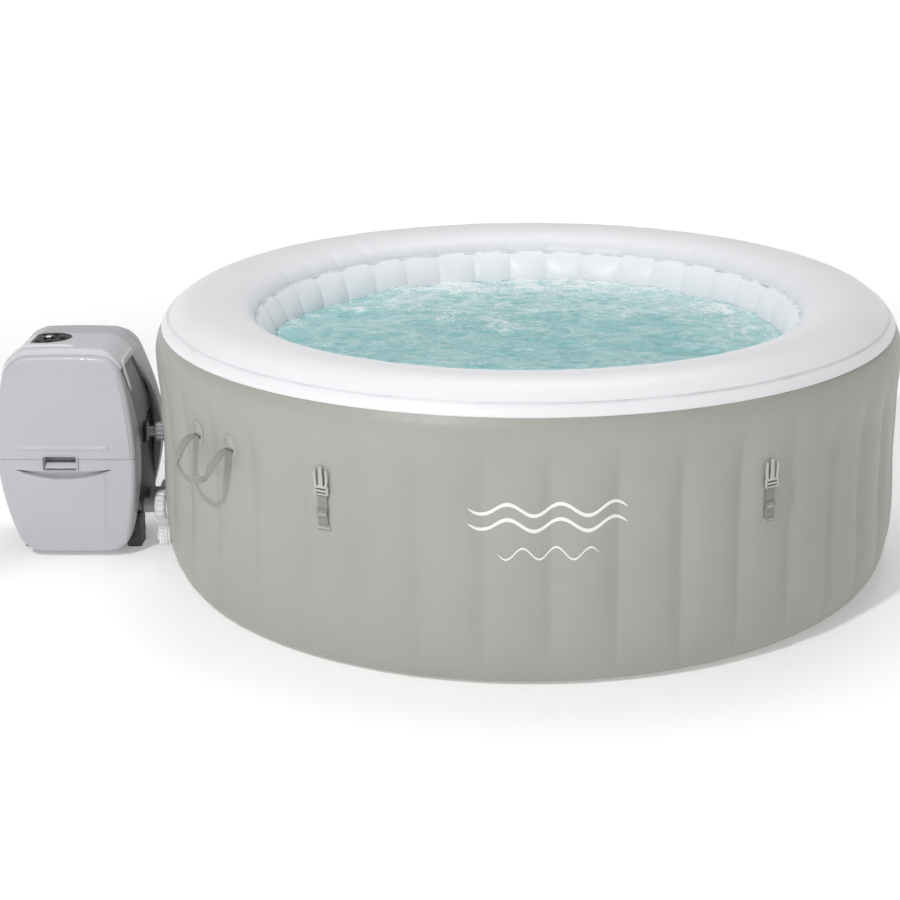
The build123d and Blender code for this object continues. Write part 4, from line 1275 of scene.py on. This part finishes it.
def build_sides():
    """Recessed side panels with their slanting seam, and the air pipe's collar."""
    pieces = []
    slant = 0.272 + 0.052 * smooth_step(np.linspace(-0.08, 0.1, 34), -0.05, 0.06)
    for sign in (-1, 1):
        pieces.append(side_sheet(sign, slant, 0.512, SIDE, SIDE_INSET))
        pieces.append(side_sheet(sign, np.full(34, 0.2622), 0.32, DARK, 0.0086))
        pieces += side_details(sign)
    place = axis_frame((-0.984, 0, AIR_Z), (1, 0, 0))
    pieces.append(lathe("air_collar", AIR_COLLAR, BLACK, place, sides=48))
    return attach(join("sides", pieces), "tub", "side_grey", "side_panels")


PANEL_X, PANEL_Y, PANEL_LONG, PANEL_WIDE = -0.058, -0.012, 0.062, 0.05
DIAL_X, DIAL_LEVEL_X = -0.054, -0.041
LIP_Y, SLIT_X = -0.09, -0.1085
KEY_MARKS = ((-16, -16, 5), (10, -17, 6), (-14, 15, 6), (14, 14, 5), (38, 13, 6), (-36, 0, 7), (-40, 10, 4))


def build_panel():
    """The glossy oval control panel with its keys' printed marks."""
    turn = full_turn(128)
    rows = []
    shares = [(share, 0.002) for share in np.linspace(0.02, 0.95, 22)]
    shares += [(0.97, 0.0019), (0.99, 0.0014), (1.0, 0.0003), (0.98, -0.002), (0.02, -0.002)]
    for share, lift in shares:
        x, y = PANEL_X + share * PANEL_LONG * np.cos(turn), PANEL_Y + share * PANEL_WIDE * np.sin(turn)
        rows.append(np.stack([x + PUMP_X, y, roof_height(x) + lift], axis=1))
    mesh = grid_mesh("panel", np.array(rows), wrap_columns=True, caps=True)
    pieces = [make_object("panel", mesh, GLOSS_BLACK, 50)]
    for x_mm, y_mm, wide_mm in KEY_MARKS:
        x, y = PANEL_X + x_mm / 1000, PANEL_Y + y_mm / 1000
        spot = Matrix.Translation((PUMP_X + x, y, float(roof_height(x)) + 0.00215))
        pieces.append(block("mark", (wide_mm / 1000, 0.0014, 0.0004), KEY_WHITE, spot, 0.0001, 1))
    return attach(join("control_oval", pieces), "tub", "panel_black", "control_panel")


def build_display():
    """The dark bezel round the panel's middle with a small white dial on it."""
    turn = full_turn(64)
    loop = np.column_stack([0.013 * np.cos(turn), 0.016 * np.sin(turn)])
    base = Matrix.Translation((PUMP_X + DIAL_X, PANEL_Y, float(roof_height(DIAL_LEVEL_X)) + 0.0023))
    dial = [(0.0002, 0.0022), (0.0045, 0.0021), (0.0066, 0.0017), (0.007, 0.001), (0.007, 0.0)]
    pieces = [plate("display_bezel", loop, 0.0016, GLOSS_BLACK, base, 0.0005)]
    pieces.append(lathe("display_dial", dial, KEY_WHITE, shifted(base, 0, 0, 0.001), sides=48))
    return attach(join("display_dial_and_bezel", pieces), "tub", "key_white", "display")


def build_lip():
    """A bar along the deck's front edge in lighter grey, a painted highlight, and a black bar at its left end
    that paints the shade in a slit.
    """
    rises = ((-0.104, 0.0006), (-0.085, 0.001), (-0.045, 0.0012), (0.0, 0.0008), (0.03, -0.002))
    front = [(PUMP_X + x, LIP_Y, float(roof_height(x)) + rise) for x, rise in rises]
    pieces = [sweep("deck_lip", front, 0.007, HIGHLIGHT_TRIM, 0.7)]
    slit = [(PUMP_X + SLIT_X, y, float(roof_height(SLIT_X)) + 0.0004) for y in (-0.104, -0.092, -0.07)]
    # the black slit bar is painted shade
    pieces.append(sweep("deck_slit", slit, 0.0022, BLACK, 0.7))
    return attach(join("deck_trim", pieces), "tub", "shell_grey")


# ---------------------------------------------------------------- carried-over CAD nodes
SLOT_MATERIALS = {
    "rim_sheet": WHITE_SHEET, "wall_sheet": GREY_SHEET, "liner_sheet": LINER_SHEET,
    "floor_sheet": FLOOR_SHEET, "webbing": WEBBING, "patch": PATCH_SHEET, "buckle_plastic": BUCKLE,
    "white_fitting": FITTING, "gasket": RUBBER, "filter_media": MEDIA, "shell_grey": SHELL,
    "side_grey": SIDE, "dark_grey": DARK, "panel_black": GLOSS_BLACK, "key_white": KEY_WHITE,
    "key_grey": KEY_GREY, "pipe_grey": PIPE, "inner_plastic": BLACK, "motor_metal": MOTOR,
    "steel": STEEL, "board": BOARD, "foot_rubber": RUBBER,
}


def dress_frame():
    """Gives every CAD node the material of its record slot."""
    slots = {p["node"]: p["material_slot"] for p in frame["record"]["subparts"]}
    for name, node in frame["nodes"].items():
        for place in node.material_slots:
            place.material = SLOT_MATERIALS[slots[name]]


def build_all():
    """Every rebuilt piece, the tub first and the pump unit last."""
    for build in (build_outer_wall, build_rim_band, build_liner, build_floor, build_water, build_print,
                  build_patches):
        build()
    for number, angle in enumerate(HANDLE_ANGLES, 1):
        build_handle(number, angle)
    for number, angle in enumerate(STRAP_ANGLES, 1):
        build_strap(number, angle)
        build_buckle(number, angle)
    for nut in NUTS:
        build_nut(*nut)
    for cap in CAPS:
        build_cap(*cap)
    for build in (build_front_covers, build_grip, build_rear_cover, build_roof, build_sides, build_panel,
                  build_display, build_lip):
        build()


build_all()
dress_frame()


# ---------------------------------------------------------------- floor and light
SKY_STRENGTH = 0.27
LAMPS = (
    ("key", (-2.3, -4.2, 4.4), (-0.2, 0, 0.4), 0.4, 165),
    ("fill", (0.9, -5.2, 2.4), (0, 0, 0.3), 2.4, 14),
    ("top", (0.3, 1.2, 4.8), (0, 0, 0.4), 3.0, 84),
)
GLOW_FADE = (2.2, 5.0, 0.22, 0.8)
STAGE_SECTION = [(0.01, 0), (8, 0), (20, 0), (30, 0), (34, 0.5), (37, 1.7), (39, 3.6), (40, 6.5)]


def build_stage():
    """A pale floor that glows more far from the tub and curves up into a low backdrop all round: painted
    light that whitens the far floor and backdrop.
    """
    turn = full_turn(96)
    rows = [np.stack([r * np.cos(turn), r * np.sin(turn), z + 0 * turn], axis=1) for r, z in STAGE_SECTION]
    mesh = grid_mesh("studio_floor", np.array(rows), wrap_columns=True)
    paint = plastic_material("glowing_floor_paint", srgb(252, 252, 252), 0.7, 3, 0.0002, 0.003)
    nodes, links = paint.node_tree.nodes, paint.node_tree.links
    place = nodes.new("ShaderNodeNewGeometry")
    away = nodes.new("ShaderNodeVectorMath")
    away.operation = "LENGTH"
    links.new(place.outputs["Position"], away.inputs[0])
    fade = nodes.new("ShaderNodeMapRange")
    for socket, number in zip(("From Min", "From Max", "To Min", "To Max"), GLOW_FADE):
        fade.inputs[socket].default_value = number
    links.new(away.outputs["Value"], fade.inputs["Value"])
    glow = nodes["Principled BSDF"].inputs
    glow["Emission Color"].default_value = (1, 1, 1, 1)
    # the glow is painted light, weak near the tub and strong far from it
    links.new(fade.outputs["Result"], glow["Emission Strength"])
    floor = make_object("studio_floor", mesh, paint)


def add_area(name, place, target, size, power):
    data = bpy.data.lights.new(name, "AREA")
    data.shape, data.size, data.energy = "SQUARE", size, power
    lamp = bpy.data.objects.new(name, data)
    lamp.location = place
    lamp.rotation_euler = (Vector(target) - Vector(place)).to_track_quat("-Z", "Y").to_euler()
    scene.collection.objects.link(lamp)


def light_scene():
    scene.view_settings.view_transform = "Standard"
    world = bpy.data.worlds.new("studio")
    world.use_nodes = True
    sky = world.node_tree.nodes["Background"].inputs
    sky["Color"].default_value = (1, 1, 1, 1)
    sky["Strength"].default_value = SKY_STRENGTH
    scene.world = world
    for lamp in LAMPS:
        add_area(*lamp)


build_stage()
light_scene()
